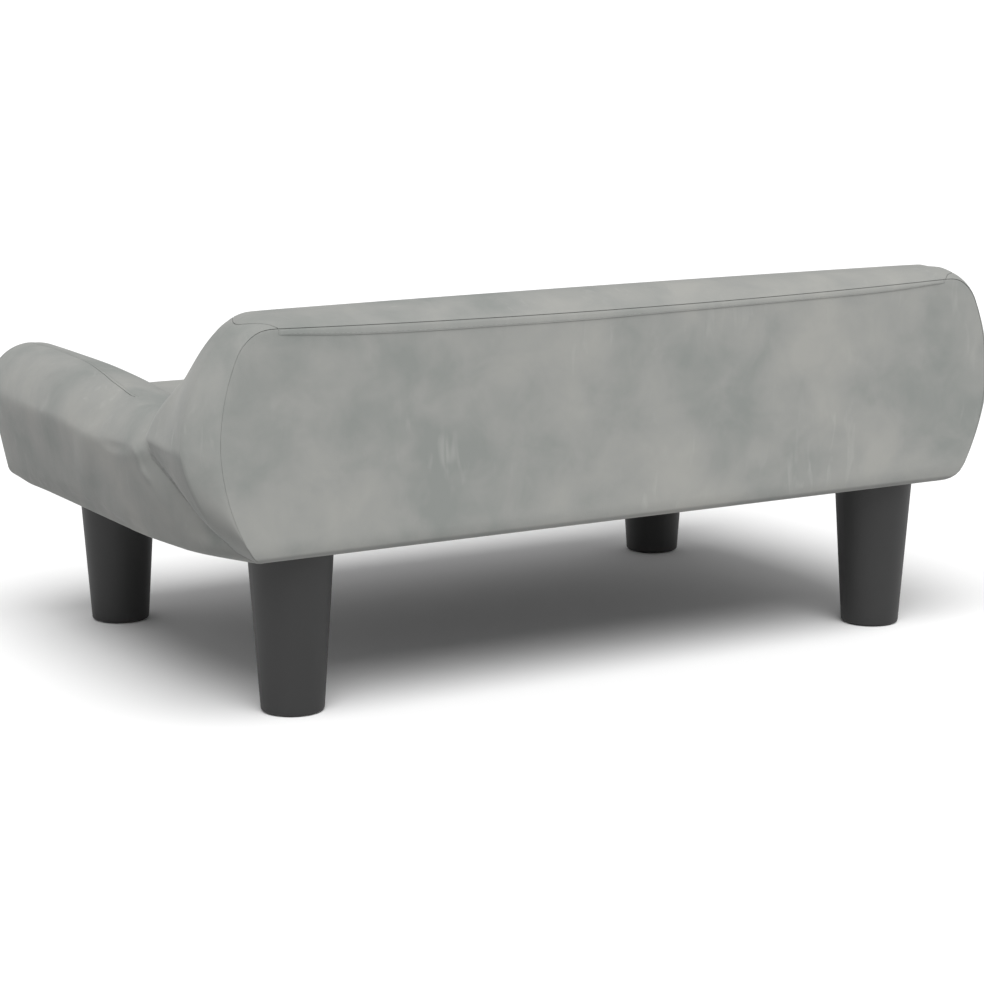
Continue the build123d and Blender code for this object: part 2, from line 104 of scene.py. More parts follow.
# Growth rings about 2.4 mm apart, drawn out along the length of a rail
along = add_node(tree, "ShaderNodeMapping", Vector=place, Scale=(12.0, 60.0, 60.0)).outputs[0]
warp = add_node(tree, "ShaderNodeTexNoise", Vector=along, Scale=1.6, Detail=4.0).outputs["Fac"]
rings = add_node(tree, "ShaderNodeTexWave", {"bands_direction": "Y"}, Vector=along, Scale=2.2, Distortion=6.0,
                 Detail=3.0)
shade = add_node(tree, "ShaderNodeMath", {"operation": "MULTIPLY"}, _0=rings.outputs["Fac"],
                 _1=warp).outputs[0]
ramp = add_node(tree, "ShaderNodeValToRGB", Fac=shade)
ramp.color_ramp.elements[0].color = linear("#d9b98a")
ramp.color_ramp.elements[1].color = linear("#b98f5c")
tree.links.new(ramp.outputs[0], shader.inputs["Base Color"])
shader.inputs["Roughness"].default_value = 0.62
bump = add_node(tree, "ShaderNodeBump", Strength=0.15, Distance=0.0004, Height=shade)
tree.links.new(bump.outputs[0], shader.inputs["Normal"])
sides = ("left", "right")
corners = [f"{end}_{side}" for end in ("front", "rear") for side in sides]
side_pieces = ("end_rail", "arm_top_rail", "arm_side_rail", "arm_rib_front", "arm_rib_rear")
finish_nodes(
    ["front_rail", "rear_rail", "centre_batten", "back_rib_left", "back_rib_centre", "back_rib_right",
     "back_top_rail"]
    + [f"{name}_{side}" for name in side_pieces for side in sides]
    + [f"corner_block_{corner}" for corner in corners], pine)

# Seat deck and back board: birch plywood, cut to shape and screwed to the rails.
# Its face veneer is pale with a fine grain. The glue lines of its edges stay hidden, and aren't drawn.
plywood, tree, shader = start_material("birch_plywood")
place = add_node(tree, "ShaderNodeTexCoord").outputs["Object"]
grain_space = add_node(tree, "ShaderNodeMapping", Vector=place, Scale=(8.0, 120.0, 120.0)).outputs[0]
grain = add_node(tree, "ShaderNodeTexNoise", Vector=grain_space, Scale=2.0, Detail=6.0).outputs["Fac"]
ramp = add_node(tree, "ShaderNodeValToRGB", Fac=grain)
ramp.color_ramp.elements[0].color = linear("#e2cba2")
ramp.color_ramp.elements[1].color = linear("#c6a678")
tree.links.new(ramp.outputs[0], shader.inputs["Base Color"])
shader.inputs["Roughness"].default_value = 0.58
bump = add_node(tree, "ShaderNodeBump", Strength=0.1, Distance=0.0003, Height=grain)
tree.links.new(bump.outputs[0], shader.inputs["Normal"])
finish_nodes(["seat_deck", "back_board"], plywood)

# Screws, leg bolts, tee nuts and staples: zinc-plated steel, driven in or pressed in.
# The plating is bright and slightly clouded.
steel, tree, shader = start_material("zinc_plated_steel")
place = add_node(tree, "ShaderNodeTexCoord").outputs["Object"]
cloud = add_node(tree, "ShaderNodeTexNoise", Vector=place, Scale=220.0, Detail=3.0).outputs["Fac"]
ramp = add_node(tree, "ShaderNodeValToRGB", Fac=cloud)
ramp.color_ramp.elements[0].color = linear("#b9bdc0")
ramp.color_ramp.elements[1].color = linear("#d8dadb")
tree.links.new(ramp.outputs[0], shader.inputs["Base Color"])
rough = add_node(tree, "ShaderNodeMapRange", Value=cloud, _3=0.28, _4=0.44).outputs[0]
tree.links.new(rough, shader.inputs["Roughness"])
shader.inputs["Metallic"].default_value = 1.0
finish_nodes(["frame_screws", "leg_bolts", "tee_nuts", "dust_cover_staples"], steel)

# Legs: injection-moulded black polypropylene cones, each screwed up into a corner block.
# The mould was spark-eroded, so the skin has a fine matt grain about half a millimetre across.
leg_plastic, tree, shader = start_material("moulded_black_polypropylene")
place = add_node(tree, "ShaderNodeTexCoord").outputs["Object"]
spark = add_node(tree, "ShaderNodeTexNoise", Vector=place, Scale=1800.0, Detail=2.0).outputs["Fac"]
handling = add_node(tree, "ShaderNodeTexNoise", Vector=place, Scale=26.0, Detail=3.0).outputs["Fac"]
ramp = add_node(tree, "ShaderNodeValToRGB", Fac=handling)
ramp.color_ramp.elements[0].color = linear("#202020")
ramp.color_ramp.elements[1].color = linear("#282828")
tree.links.new(ramp.outputs[0], shader.inputs["Base Color"])
rough = add_node(tree, "ShaderNodeMapRange", Value=handling, _3=0.52, _4=0.62).outputs[0]
tree.links.new(rough, shader.inputs["Roughness"])
bump = add_node(tree, "ShaderNodeBump", Strength=0.25, Distance=0.00005, Height=spark)
tree.links.new(bump.outputs[0], shader.inputs["Normal"])
shader.inputs["IOR"].default_value = 1.49
finish_nodes([f"leg_{corner}" for corner in corners], leg_plastic)

# Floor glides: dark grey polyethylene discs, moulded in one piece and lightly scuffed by the floor.
# Their spigots push into the open feet of the legs.
glide_plastic, tree, shader = start_material("moulded_grey_polyethylene")
place = add_node(tree, "ShaderNodeTexCoord").outputs["Object"]
scuff = add_node(tree, "ShaderNodeTexNoise", Vector=place, Scale=90.0, Detail=5.0).outputs["Fac"]
ramp = add_node(tree, "ShaderNodeValToRGB", Fac=scuff)
ramp.color_ramp.elements[0].color = linear("#3c3c3c")
ramp.color_ramp.elements[1].color = linear("#4a4a4a")
tree.links.new(ramp.outputs[0], shader.inputs["Base Color"])
shader.inputs["Roughness"].default_value = 0.55
finish_nodes([f"leg_glide_{corner}" for corner in corners], glide_plastic)


# Dust cover: a sheet of black spunbond cloth pulled flat under the frame and stapled round its edge.
# It is pricked all over by the bonding rollers, and sags a little between the staples.
def weld(points):
    """The separate points of a grid, and the place of each grid point in them."""
    flat = np.round(points.reshape(-1, 3), 7)
    _, first, back = np.unique(flat, axis=0, return_index=True, return_inverse=True)
    return points.reshape(-1, 3)[first], back.reshape(-1)


def grid_faces(index, wrap):
    """The quads of a grid of point numbers, less the ones that its welded poles flatten."""
    right = np.roll(index, -1, 1) if wrap else index[:, 1:]
    here = index if wrap else index[:, :-1]
    faces = []
    for quad in np.stack([here[:-1], here[1:], right[1:], right[:-1]], -1).reshape(-1, 4).tolist():
        kept = [v for i, v in enumerate(quad) if v != quad[i - 1]]
        if len(set(kept)) == len(kept) > 2:
            faces.append(kept)
    return faces


def linked(name, data):
    """A new object that stands in the scene."""
    made = bpy.data.objects.new(name, data)
    bpy.context.scene.collection.objects.link(made)
    return made


def grid_object(name, points, material, wrap=False, closed=False):
    """A smooth object of quads from rows of points; wrap joins each row's end to its start."""
    corners_at, index = weld(points)
    mesh = bpy.data.meshes.new(name)
    mesh.from_pydata(corners_at.tolist(), [], grid_faces(index.reshape(points.shape[:2]), wrap))
    if closed:
        work = bmesh.new()
        work.from_mesh(mesh)
        bmesh.ops.recalc_face_normals(work, faces=work.faces)
        work.to_mesh(mesh)
        work.free()
    mesh.materials.append(material)
    mesh.polygons.foreach_set("use_smooth", [True] * len(mesh.polygons))
    return linked(name, mesh)


spunbond, tree, shader = start_material("black_spunbond_cloth")
place = add_node(tree, "ShaderNodeTexCoord").outputs["Object"]
# Bonding points 1.6 mm apart
points = add_node(tree, "ShaderNodeTexVoronoi", Vector=place, Scale=620.0).outputs["Distance"]
fibres = add_node(tree, "ShaderNodeTexNoise", Vector=place, Scale=300.0, Detail=6.0).outputs["Fac"]
ramp = add_node(tree, "ShaderNodeValToRGB", Fac=fibres)
ramp.color_ramp.elements[0].color = linear("#1d1d1e")
ramp.color_ramp.elements[1].color = linear("#2f2f30")
tree.links.new(ramp.outputs[0], shader.inputs["Base Color"])
shader.inputs["Roughness"].default_value = 0.85
bump = add_node(tree, "ShaderNodeBump", Strength=0.4, Distance=0.0002, Height=points)
tree.links.new(bump.outputs[0], shader.inputs["Normal"])
low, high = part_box("dust_cover")
cover_z = (low.z + high.z) / 2
cloth_columns, cloth_rows = 118, 76
across = np.linspace(low.x, high.x, cloth_columns)
depth = np.linspace(low.y, high.y, cloth_rows)
grid_y, grid_x = np.meshgrid(depth, across, indexing="ij")
from_edge = np.minimum.reduce([grid_x - low.x, high.x - grid_x, grid_y - low.y, high.y - grid_y])
sag, sag_reach = 0.0014, 0.03
pucker, pucker_reach = 0.0003, 0.02
long_waves = 0.7 + 0.3 * np.sin(grid_x * 31.0) * np.sin(grid_y * 43.0)
staple_waves = np.sin(grid_x * 105.0) * np.exp(-from_edge / pucker_reach)
slack = sag * (1 - np.exp(-from_edge / sag_reach)) * long_waves
slack = slack + pucker * staple_waves + pucker
dust_cover = grid_object("dust_cover_sheet", np.stack([grid_x, grid_y, cover_z - slack], -1), spunbond)
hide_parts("dust_cover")
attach(dust_cover, "root")


# Back and arms: foam on a timber frame, covered in short-pile velvet. The back's rear panel, inner panel and
# the band round its edge are cut apart and sewn into one cover, and each arm has one wrap pulled over its
# roll. The flared arms press against the ends of the back, which draws a soft crease into both.
velvet, tree, shader = start_material("grey_short_pile_velvet")
place = add_node(tree, "ShaderNodeTexCoord").outputs["Object"]
# Brushed patches, some 60 to 120 mm across and some 25 to 40 mm, where the pile leans another way
wide_patches = add_node(tree, "ShaderNodeTexNoise", Vector=place, Scale=9.0, Detail=2.0, Roughness=0.5)
small_patches = add_node(tree, "ShaderNodeTexNoise", {"noise_dimensions": "4D"}, Vector=place, W=2.3,
                         Scale=30.0, Detail=3.0, Roughness=0.55, Distortion=0.4)
patches = add_node(tree, "ShaderNodeMix", _0=0.38, _2=wide_patches.outputs["Fac"],
                   _3=small_patches.outputs["Fac"]).outputs[0]
nap = add_node(tree, "ShaderNodeValToRGB", Fac=patches)
nap.color_ramp.elements[0].position = 0.37
nap.color_ramp.elements[0].color = linear("#7e817e")
nap.color_ramp.elements[1].position = 0.62
nap.color_ramp.elements[1].color = linear("#93938f")
nap.color_ramp.elements.new(0.49).color = linear("#8a8b88")
# Pale rubbed strokes, a few millimetres wide and 10 to 30 mm long, mostly upright and only here and there
drawn = add_node(tree, "ShaderNodeMapping", Vector=place, Scale=(120.0, 120.0, 30.0)).outputs[0]
strokes = add_node(tree, "ShaderNodeTexNoise", Vector=drawn, Scale=1.0, Detail=2.0, Roughness=0.5,
                   Distortion=0.8).outputs["Fac"]
handled = add_node(tree, "ShaderNodeTexNoise", {"noise_dimensions": "4D"}, Vector=place, W=6.1, Scale=13.0,
                   Detail=2.0).outputs["Fac"]
stroke_share = add_node(tree, "ShaderNodeMapRange", Value=strokes, _1=0.58, _2=0.80, _3=0.0,
                        _4=0.3).outputs[0]
handled_share = add_node(tree, "ShaderNodeMapRange", Value=handled, _1=0.52, _2=0.64, _3=0.0,
                         _4=1.0).outputs[0]
rubbed_share = add_node(tree, "ShaderNodeMath", {"operation": "MULTIPLY"}, _0=stroke_share,
                        _1=handled_share).outputs[0]
rubbed = add_node(tree, "ShaderNodeMix", {"data_type": "RGBA"}, _0=rubbed_share, _6=nap.outputs[0],
                  _7=linear("#adada9"))
# Painted shade: the base colour is darkened to as little as 0.6 of itself where the cloth faces down.
# On the back, cloth turned to the rear or the front counts as upright, so the shade falls on its ends and
# under it;
# on the arms, which an attribute marks, only facing down counts.
surface_normal = add_node(tree, "ShaderNodeNewGeometry").outputs["Normal"]
facing = add_node(tree, "ShaderNodeSeparateXYZ", Vector=surface_normal)
rearward = add_node(tree, "ShaderNodeMath", {"operation": "ABSOLUTE"}, _0=facing.outputs["Y"]).outputs[0]
cut = add_node(tree, "ShaderNodeAttribute", {"attribute_name": "painted_shade_down_only"}).outputs["Fac"]
rear_share = add_node(tree, "ShaderNodeMapRange", Value=cut, _3=0.8, _4=0.1).outputs[0]
upright = add_node(tree, "ShaderNodeMath", {"operation": "MULTIPLY_ADD"}, _0=rearward, _1=rear_share,
                   _2=facing.outputs["Z"]).outputs[0]
# Painted shade: 0.6 where the cloth faces well down, rising to full colour where it faces up
painted_underside_shade = add_node(tree, "ShaderNodeMapRange", {"interpolation_type": "SMOOTHSTEP"}, Value=upright,
                     _1=-0.32, _2=0.20, _3=0.60, _4=1.0).outputs[0]
shown = add_node(tree, "ShaderNodeMix", {"data_type": "RGBA", "blend_type": "MULTIPLY"}, _0=1.0,
                 _6=rubbed.outputs[2], _7=painted_underside_shade)
tree.links.new(shown.outputs[2], shader.inputs["Base Color"])
shader.inputs["Roughness"].default_value = 0.9
shader.inputs["Sheen Weight"].default_value = 0.12
shader.inputs["Sheen Roughness"].default_value = 0.4
# Pile tufts are drawn about 0.8 mm apart, coarser than the real 0.3 mm so that they show
pile = add_node(tree, "ShaderNodeTexNoise", Vector=place, Scale=1200.0, Detail=2.0).outputs["Fac"]
ruffle = add_node(tree, "ShaderNodeTexNoise", Vector=place, Scale=45.0, Detail=4.0).outputs["Fac"]
pile_bump = add_node(tree, "ShaderNodeBump", Strength=0.35, Distance=0.0002, Height=pile).outputs[0]
bump = add_node(tree, "ShaderNodeBump", Strength=0.35, Distance=0.0015, Height=ruffle, Normal=pile_bump)
tree.links.new(bump.outputs[0], shader.inputs["Normal"])


def arc(first, middle, last, count):
    """Points of the arc through three points of a plane, without the last one."""
    (ax, az), (bx, bz), (cx, cz) = first, middle, last
    turn = 2 * (ax * (bz - cz) + bx * (cz - az) + cx * (az - bz))
    a, b, c = ax * ax + az * az, bx * bx + bz * bz, cx * cx + cz * cz
    centre = np.array([(a * (bz - cz) + b * (cz - az) + c * (az - bz)) / turn,
                       (a * (cx - bx) + b * (ax - cx) + c * (bx - ax)) / turn])
    spokes = [np.array(p) - centre for p in (first, middle, last)]
    angles = np.unwrap([math.atan2(s[1], s[0]) for s in spokes])
    sweep = angles[0] + (angles[2] - angles[0]) * np.arange(count) / count
    radius = np.linalg.norm(spokes[0])
    return centre + radius * np.stack([np.cos(sweep), np.sin(sweep)], -1)


def rounded_quarter(flat, ridge, shares, counts):
    """Two arcs from the end of a flat to the widest point, as rows of (x, z)."""
    points = [(flat[0] + (ridge[0] - flat[0]) * a, ridge[1] + (flat[1] - ridge[1]) * b) for a, b in shares]
    return np.concatenate([arc(*points[0:3], counts[0]), arc(*points[2:5], counts[1]), [points[4]]])


def eased(share):
    """A share from 0 to 1 that starts and ends gently."""
    share = np.clip(share, 0, 1)
    return share * share * (3 - 2 * share)


overall_low, overall_high = (Vector(corner) for corner in cad_box)
swell = 0.0003
full_half_width = overall_high.x
half_width = full_half_width - swell
rear_y = overall_high.y - swell
front_y = overall_low.y
top_z = overall_high.z - swell
underside_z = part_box("rear_rail")[0].z
ridge_z = 0.195
seam_drop = 0.0101
top_run, bottom_run = 0.0605, 0.053
upper_counts, lower_counts = (9, 28), (7, 24)
top_count, bottom_count = 190, 190
band_upper = ((0.0, 1.0), (0.245, 0.963), (0.45, 0.863), (0.845, 0.462), (1.0, 0.0))
band_lower = ((0.0, 1.0), (0.14, 0.965), (0.29, 0.89), (0.745, 0.503), (1.0, 0.0))
inner_upper = ((0.0, 1.0), (0.241, 0.953), (0.40, 0.83), (0.725, 0.41), (1.0, 0.0))
panel_upper = ((0.0, 1.0), (0.4, 0.945), (0.675, 0.8), (0.93, 0.41), (1.0, 0.0))
panel_lower = ((0.0, 1.0), (0.29, 0.955), (0.515, 0.83), (0.825, 0.468), (1.0, 0.0))


def mix(start, end, share):
    """Part of the way from one table or number to another."""
    return np.array(start) + (np.array(end) - np.array(start)) * share


def boat(widest, top, bottom, upper, lower):
    """A closed outline with flat top and bottom and rounded ends, clockwise from the top left, as (x, z)."""
    ridge = (widest, ridge_z)
    over = rounded_quarter((half_width - top_run, top), ridge, upper, upper_counts)
    under = rounded_quarter((half_width - bottom_run, bottom), ridge, lower, lower_counts)[::-1]
    right = np.concatenate([over[:-1], under])
    left = right[::-1] * [-1, 1]
    top_line = np.stack([np.linspace(left[-1][0], right[0][0], top_count + 1)[1:-1],
                         np.full(top_count - 1, top)], -1)
    bottom_line = np.stack([np.linspace(right[-1][0], left[0][0], bottom_count + 1)[1:-1],
                            np.full(bottom_count - 1, bottom)], -1)
    return np.concatenate([right, bottom_line, left, top_line])


def loop_normals(loop):
    """Outward normals of a closed clockwise outline, in its own plane."""
    along = np.roll(loop, -1, 0) - np.roll(loop, 1, 0)
    along = along / np.linalg.norm(along, axis=1)[:, None]
    return np.stack([-along[:, 1], along[:, 0]], -1)


def soft_min(a, b, blend):
    """The lower of two values, rounded over where they meet."""
    share = np.clip(0.5 + (b - a) / (2 * blend), 0, 1)
    return b + (a - b) * share - blend * share * (1 - share)


lean_run, lean_rise = 0.04, 0.082
lean = math.atan2(lean_run, lean_rise)
seat_z = 0.183
back_thickness = 0.099
foot_y = overall_high.y - back_thickness
crest_radius = 0.022
edge_radius = 0.017
heel_radius = 0.012
crest_y = foot_y + math.tan(lean) * (top_z - crest_radius - seat_z) + crest_radius / math.cos(lean)


def tuck_under(loop):
    """The rear panel's outline with its lowest few millimetres drawn down under the heel."""
    heel_top = underside_z + heel_radius
    stretch = (heel_radius - swell) / (heel_top - loop[:, 1].min())
    z = np.where(loop[:, 1] < heel_top, heel_top - (heel_top - loop[:, 1]) * stretch, loop[:, 1])
    return np.stack([loop[:, 0], z], -1)


panel_inset, panel_lift, middle_inset = 0.019, 0.0048, 0.085
panel_loop = tuck_under(boat(half_width - panel_inset, top_z - seam_drop, underside_z + panel_lift,
                             panel_upper, panel_lower))
middle_reach = half_width - middle_inset
side_count = (len(panel_loop) - top_count - bottom_count + 2) // 2
middle_x = np.concatenate([
    np.full(side_count, middle_reach), np.linspace(middle_reach, -middle_reach, bottom_count + 1)[1:-1],
    np.full(side_count, -middle_reach), np.linspace(-middle_reach, middle_reach, top_count + 1)[1:-1],
])
middle_loop = np.stack([middle_x, np.full(len(middle_x), ridge_z)], -1)


def crown_height(y):
    """How high the top of the back is at a depth behind its crest."""
    reach = rear_y - crest_y
    radius = (reach ** 2 + seam_drop ** 2) / (2 * seam_drop)
    back = np.clip(y - crest_y, 0, None)
    return top_z - radius + np.sqrt(radius ** 2 - back ** 2)


def heel(z):
    """How far back the rounded lower edge reaches at a height, and the share of its fall there."""
    fall = np.clip(underside_z + heel_radius - z, 0, heel_radius)
    return rear_y - heel_radius + np.sqrt(heel_radius ** 2 - fall ** 2), fall / heel_radius


crown_blend = 0.003
heel_step = 0.0125


def seat_outline(loop, y, past_seam=0.0):
    """An outline stood across the depth at y, kept under the crown and inside the heel."""
    y = np.broadcast_to(y, len(loop)).astype(float)
    z = soft_min(loop[:, 1], crown_height(y), crown_blend)
    reach, fallen = heel(z)
    y = np.minimum(y, reach - heel_step * past_seam * fallen ** 2)
    return np.stack([loop[:, 0], y, z], -1)


forward_from, forward_over = (0.24, 0.2), (0.06, 0.045)
forward_beside_arms = 0.014


def front_depth(x, z):
    """The depth of the leaning inner face, which comes forward a little beside the arms."""
    outwards = eased((np.abs(x) - forward_from[0]) / forward_over[0])
    upwards = eased((z - forward_from[1]) / forward_over[1])
    forward = forward_beside_arms * (outwards * (1 - upwards))
    return foot_y + math.tan(lean) * np.clip(z - seat_z, 0, None) - forward


# Rings of the back: out from the middle of the rear panel, over the band, and in over the front panel
panel_ring_count, band_ring_count, side_ring_count, edge_ring_count = 24, 12, 28, 10
rings = []
crowding = 1.35
panel_shares = 1 - (1 - np.linspace(0, 1, panel_ring_count)) ** crowding
for share in panel_shares:
    rings.append(seat_outline(middle_loop + (panel_loop - middle_loop) * share, rear_y))
rear_seam = len(rings) - 1
band_loop = boat(half_width, top_z, underside_z, band_upper, band_lower)
band_depth = 0.023
early_share = 0.35
for share in np.linspace(0, 1, band_ring_count + 1)[1:]:
    turn = share * math.pi / 2
    full = early_share * math.sin(turn) + (1 - early_share) * (1 - math.cos(turn))
    loop = panel_loop + (band_loop - panel_loop) * full
    rings.append(seat_outline(loop, rear_y - band_depth * (1 - math.cos(turn)), share))
bulge_y = rear_y - band_depth
inner_inset, inner_lift = 0.0025, 0.004
inner_loop = boat(half_width - inner_inset, top_z, underside_z + inner_lift, inner_upper, band_lower)
outline_normal = loop_normals(inner_loop)
upward = np.clip(outline_normal[:, 1], 0, 1) ** 2
edge_round = edge_radius + (crest_radius - edge_radius) * upward
inset_loop = inner_loop - outline_normal * edge_round[:, None]
front_normal = np.where(inset_loop[:, 1:] > seat_z, [[0, -math.cos(lean), math.sin(lean)]], [[0, -1, 0]])
centre_y = front_depth(inset_loop[:, 0], inset_loop[:, 1]) + edge_round / math.cos(lean)
narrowing_depth = 0.05
for share in np.linspace(0, 1, side_ring_count + 1)[1:]:
    y = bulge_y + (centre_y - bulge_y) * share
    ease = eased((bulge_y - y) / narrowing_depth)[:, None]
    rings.append(seat_outline(band_loop + (inner_loop - band_loop) * ease, y))
centres = np.stack([inset_loop[:, 0], centre_y, inset_loop[:, 1]], -1)
side_normal = np.stack([outline_normal[:, 0], np.zeros(len(outline_normal)), outline_normal[:, 1]], -1)
angle = np.arccos(np.clip((side_normal * front_normal).sum(1), -1, 1))
for share in np.linspace(0, 1, edge_ring_count + 1)[1:]:
    a, b = np.sin((1 - share) * angle) / np.sin(angle), np.sin(share * angle) / np.sin(angle)
    spoke = side_normal * a[:, None] + front_normal * b[:, None]
    rings.append(centres + spoke * edge_round[:, None])
front_seam = len(rings) - 1
rim = rings[-1]
front_narrowing = 0.97
front_x = middle_x * front_narrowing
front_middle = np.stack([front_x, front_depth(front_x, ridge_z), np.full(len(front_x), ridge_z)], -1)
for share in panel_shares[::-1][1:]:
    flat = front_middle + (rim - front_middle) * share
    flat[:, 1] = front_depth(flat[:, 0], flat[:, 2])
    rings.append(flat)
back_rest = np.array(rings)

# The rear seam sags a little along the top edge of the board, and the crest is crowned along its length
near_rear = eased((back_rest[..., 1] - crest_y) / (rear_y - crest_y))
near_top = np.clip((back_rest[..., 2] - ridge_z) / (top_z - seam_drop - ridge_z), 0, 1) ** 2
top_reach = 0.2875
along_share = np.clip(back_rest[..., 0] / top_reach, -1, 1) ** 2
middle_sag, seam_bow = 0.0014, 0.0042
seam_sag = seam_bow * along_share - middle_sag
crest_crown = 0.0008 - 0.001 * along_share
back_rest[..., 2] += near_top * (near_rear * seam_sag + (1 - near_rear) * crest_crown)


swelling_frames = 20


def puff(rest, held_rows, pressure, cap):
    """How far each grid point moves when the padding presses the cover out between its seams."""
    row_ids = np.array(sorted(set(range(0, len(rest), 2)) | set(held_rows) | {len(rest) - 1}))
    count = rest.shape[1]
    coarse = rest[row_ids][:, ::2]
    swollen = grid_object("puff", coarse, velvet, wrap=True, closed=True)
    index = weld(coarse)[1].reshape(coarse.shape[:2])
    held = swollen.vertex_groups.new(name="held")
    held_ids = sorted({int(i) for row in held_rows for i in index[list(row_ids).index(row)]})
    held.add(held_ids, 1.0, "REPLACE")
    cloth = swollen.modifiers.new("cover", "CLOTH")
    cloth.settings.vertex_group_mass = "held"
    for name, value in (("quality", 5), ("mass", 0.3), ("tension_stiffness", 40),
                        ("compression_stiffness", 40), ("shear_stiffness", 20), ("bending_stiffness", 4),
                        ("use_pressure", True), ("uniform_pressure_force", pressure)):
        setattr(cloth.settings, name, value)
    cloth.settings.effector_weights.gravity = 0
    scene = bpy.context.scene
    for number in range(1, swelling_frames + 1):
        scene.frame_set(number)
    shown = swollen.evaluated_get(bpy.context.evaluated_depsgraph_get()).to_mesh()
    after = np.zeros(len(shown.vertices) * 3)
    shown.vertices.foreach_get("co", after)
    moved = after.reshape(-1, 3)[index] - coarse
    scene.frame_set(1)
    mesh = swollen.data
    bpy.data.objects.remove(swollen)
    bpy.data.meshes.remove(mesh)
    wide = np.empty((len(row_ids), count, 3))
    wide[:, ::2] = moved
    wide[:, 1::2] = (moved + np.roll(moved, -1, 1)) / 2
    spread_rows = np.empty_like(rest)
    for axis in range(3):
        for column in range(count):
            spread_rows[:, column, axis] = np.interp(np.arange(len(rest)), row_ids, wide[:, column, axis])
    cap = np.broadcast_to(np.reshape(cap, (-1, 1, 1)), (len(rest), 1, 1))
    length = np.linalg.norm(spread_rows, axis=2, keepdims=True)
    return spread_rows * (cap * np.tanh(length / cap) / np.maximum(length, 1e-9))


row_number = np.arange(len(back_rest))
inner_swell, arm_swell = 0.006, 0.0014
foam_pressure = 3.0
back_cap = np.where(row_number <= front_seam, swell, inner_swell)
back_form = back_rest + puff(back_rest, [rear_seam, front_seam], foam_pressure, back_cap)

arm_inset = 0.003
arm_ridge = full_half_width - arm_inset - swell
arm_ridge_z = 0.1825
arm_roll = 0.04 - swell
arm_top_z = 0.223 - swell
arm_foot_y = (-0.203, -0.184, -0.155, 0.05, 0.08, 0.108, 0.138, 0.157, 0.172, 0.2)
arm_foot_inset = (0.0185, 0.017, 0.0152, 0.0152, 0.0165, 0.0188, 0.0212, 0.0265, 0.032, 0.0375)
arm_edge = 0.004
arm_end_y = rear_y - arm_inset
arm_under = ((0.0, 1.0), (0.1, 0.988), (0.18, 0.952), (0.6, 0.5), (1.0, 0.0))
arm_front_under = ((-0.2, 1.0), (0.08, 0.972), (0.29, 0.88), (0.62, 0.5), (1.0, 0.0))
arm_narrow_y = (-0.203, 0.05, 0.092, 0.125, 0.139, 0.151, 0.175, 0.192, 0.2)
arm_narrow = (0.0, 0.0, 0.0012, 0.0036, 0.005, 0.0063, 0.0095, 0.015, 0.0195)
arm_lift_y = (-0.203, -0.06, -0.03, 0.0, 0.03, 0.09, 0.2)
arm_lift = (0.0095, 0.009, 0.0048, 0.001, 0.001, 0.0035, 0.004)
arm_drop_y = (-0.203, -0.075, -0.04, -0.015, 0.02, 0.049, 0.092, 0.136, 0.2)
arm_drop = (0.0, -0.0002, 0.0016, 0.0034, 0.008, 0.0106, 0.010, 0.009, 0.0086)


over_points, side_points, floor_points = 26, 24, 20
smooth_from, smooth_to, smooth_passes = 24, 60, 6
outer_fullness = 0.012


def arm_loop(narrowing, drop, inset, rounding, flare=arm_foot_inset[0], lift=arm_lift[0]):
    """The outline of an arm and its flared side, anticlockwise from the bottom outer edge."""
    outer_z = arm_ridge_z + lift
    ridge = (arm_ridge - narrowing - inset, outer_z)
    bottom = underside_z + inset
    roll_x = arm_ridge - narrowing - arm_roll
    roll = arm_roll - inset
    rise = arm_top_z - arm_ridge_z - inset - drop
    up = math.sqrt(0.5)
    under = rounded_quarter((arm_ridge - narrowing - flare - inset / 2, bottom), ridge,
                            mix(arm_under, arm_front_under, rounding), (8, 30))
    crest = (roll_x, arm_ridge_z + rise)
    outer = up + outer_fullness
    over = np.concatenate([
        arc(ridge, (roll_x + roll * outer, outer_z + (crest[1] - outer_z) * outer), crest, over_points),
        arc(crest, (roll_x - roll * up, arm_ridge_z + rise * up), (roll_x - roll, arm_ridge_z), over_points),
    ])
    inner_z = np.linspace(arm_ridge_z, bottom, side_points + 1)[:-1]
    inner = np.stack([np.full(side_points, roll_x - roll), inner_z], -1)
    floor_x = np.linspace(roll_x - roll, under[0][0], floor_points + 1)[:-1]
    floor_line = np.stack([floor_x, np.full(floor_points, bottom)], -1)
    loop = np.concatenate([under[:-1], over, inner, floor_line])
    for _ in range(smooth_passes):
        before, after = loop[smooth_from - 1:smooth_to - 1], loop[smooth_from + 1:smooth_to + 1]
        loop[smooth_from:smooth_to] = (before + 2 * loop[smooth_from:smooth_to] + after) / 4
    return loop


def arm_station(y):
    """An arm's narrowing, saddle drop, corner rounding, foot inset and ridge lift at a depth."""
    near, wide = y + np.linspace(-0.008, 0.008, 9), y + np.linspace(-0.02, 0.02, 9)
    narrowing = np.mean(np.interp(near, arm_narrow_y, arm_narrow))
    drop = np.mean(np.interp(wide, arm_drop_y, arm_drop))
    rounding = 1 - eased((y - front_y - 0.008) / 0.045)
    inset = np.mean(np.interp(near, arm_foot_y, arm_foot_inset))
    lift = np.mean(np.interp(wide, arm_lift_y, arm_lift)) if y > front_y + 0.02 else arm_lift[0]
    return [float(value) for value in (narrowing, drop, rounding, inset, lift)]


def stand(loop, y):
    """An outline stood across the depth at y."""
    return np.stack([loop[:, 0], np.full(len(loop), y), loop[:, 1]], -1)


def fill_outline(middle, loop, y, shares):
    """Rings that fill an outline at a depth, each a share of the way out from its middle."""
    return [stand(middle + (loop - middle) * share, y) for share in shares]


def close_end(rows, middle, y):
    """Carry the last row of a form in to its middle, which closes its rear end."""
    last, centre = rows[-1], stand(middle, y)
    for share in np.linspace(1, 0, 8)[1:]:
        rows.append(centre + (last - centre) * share)


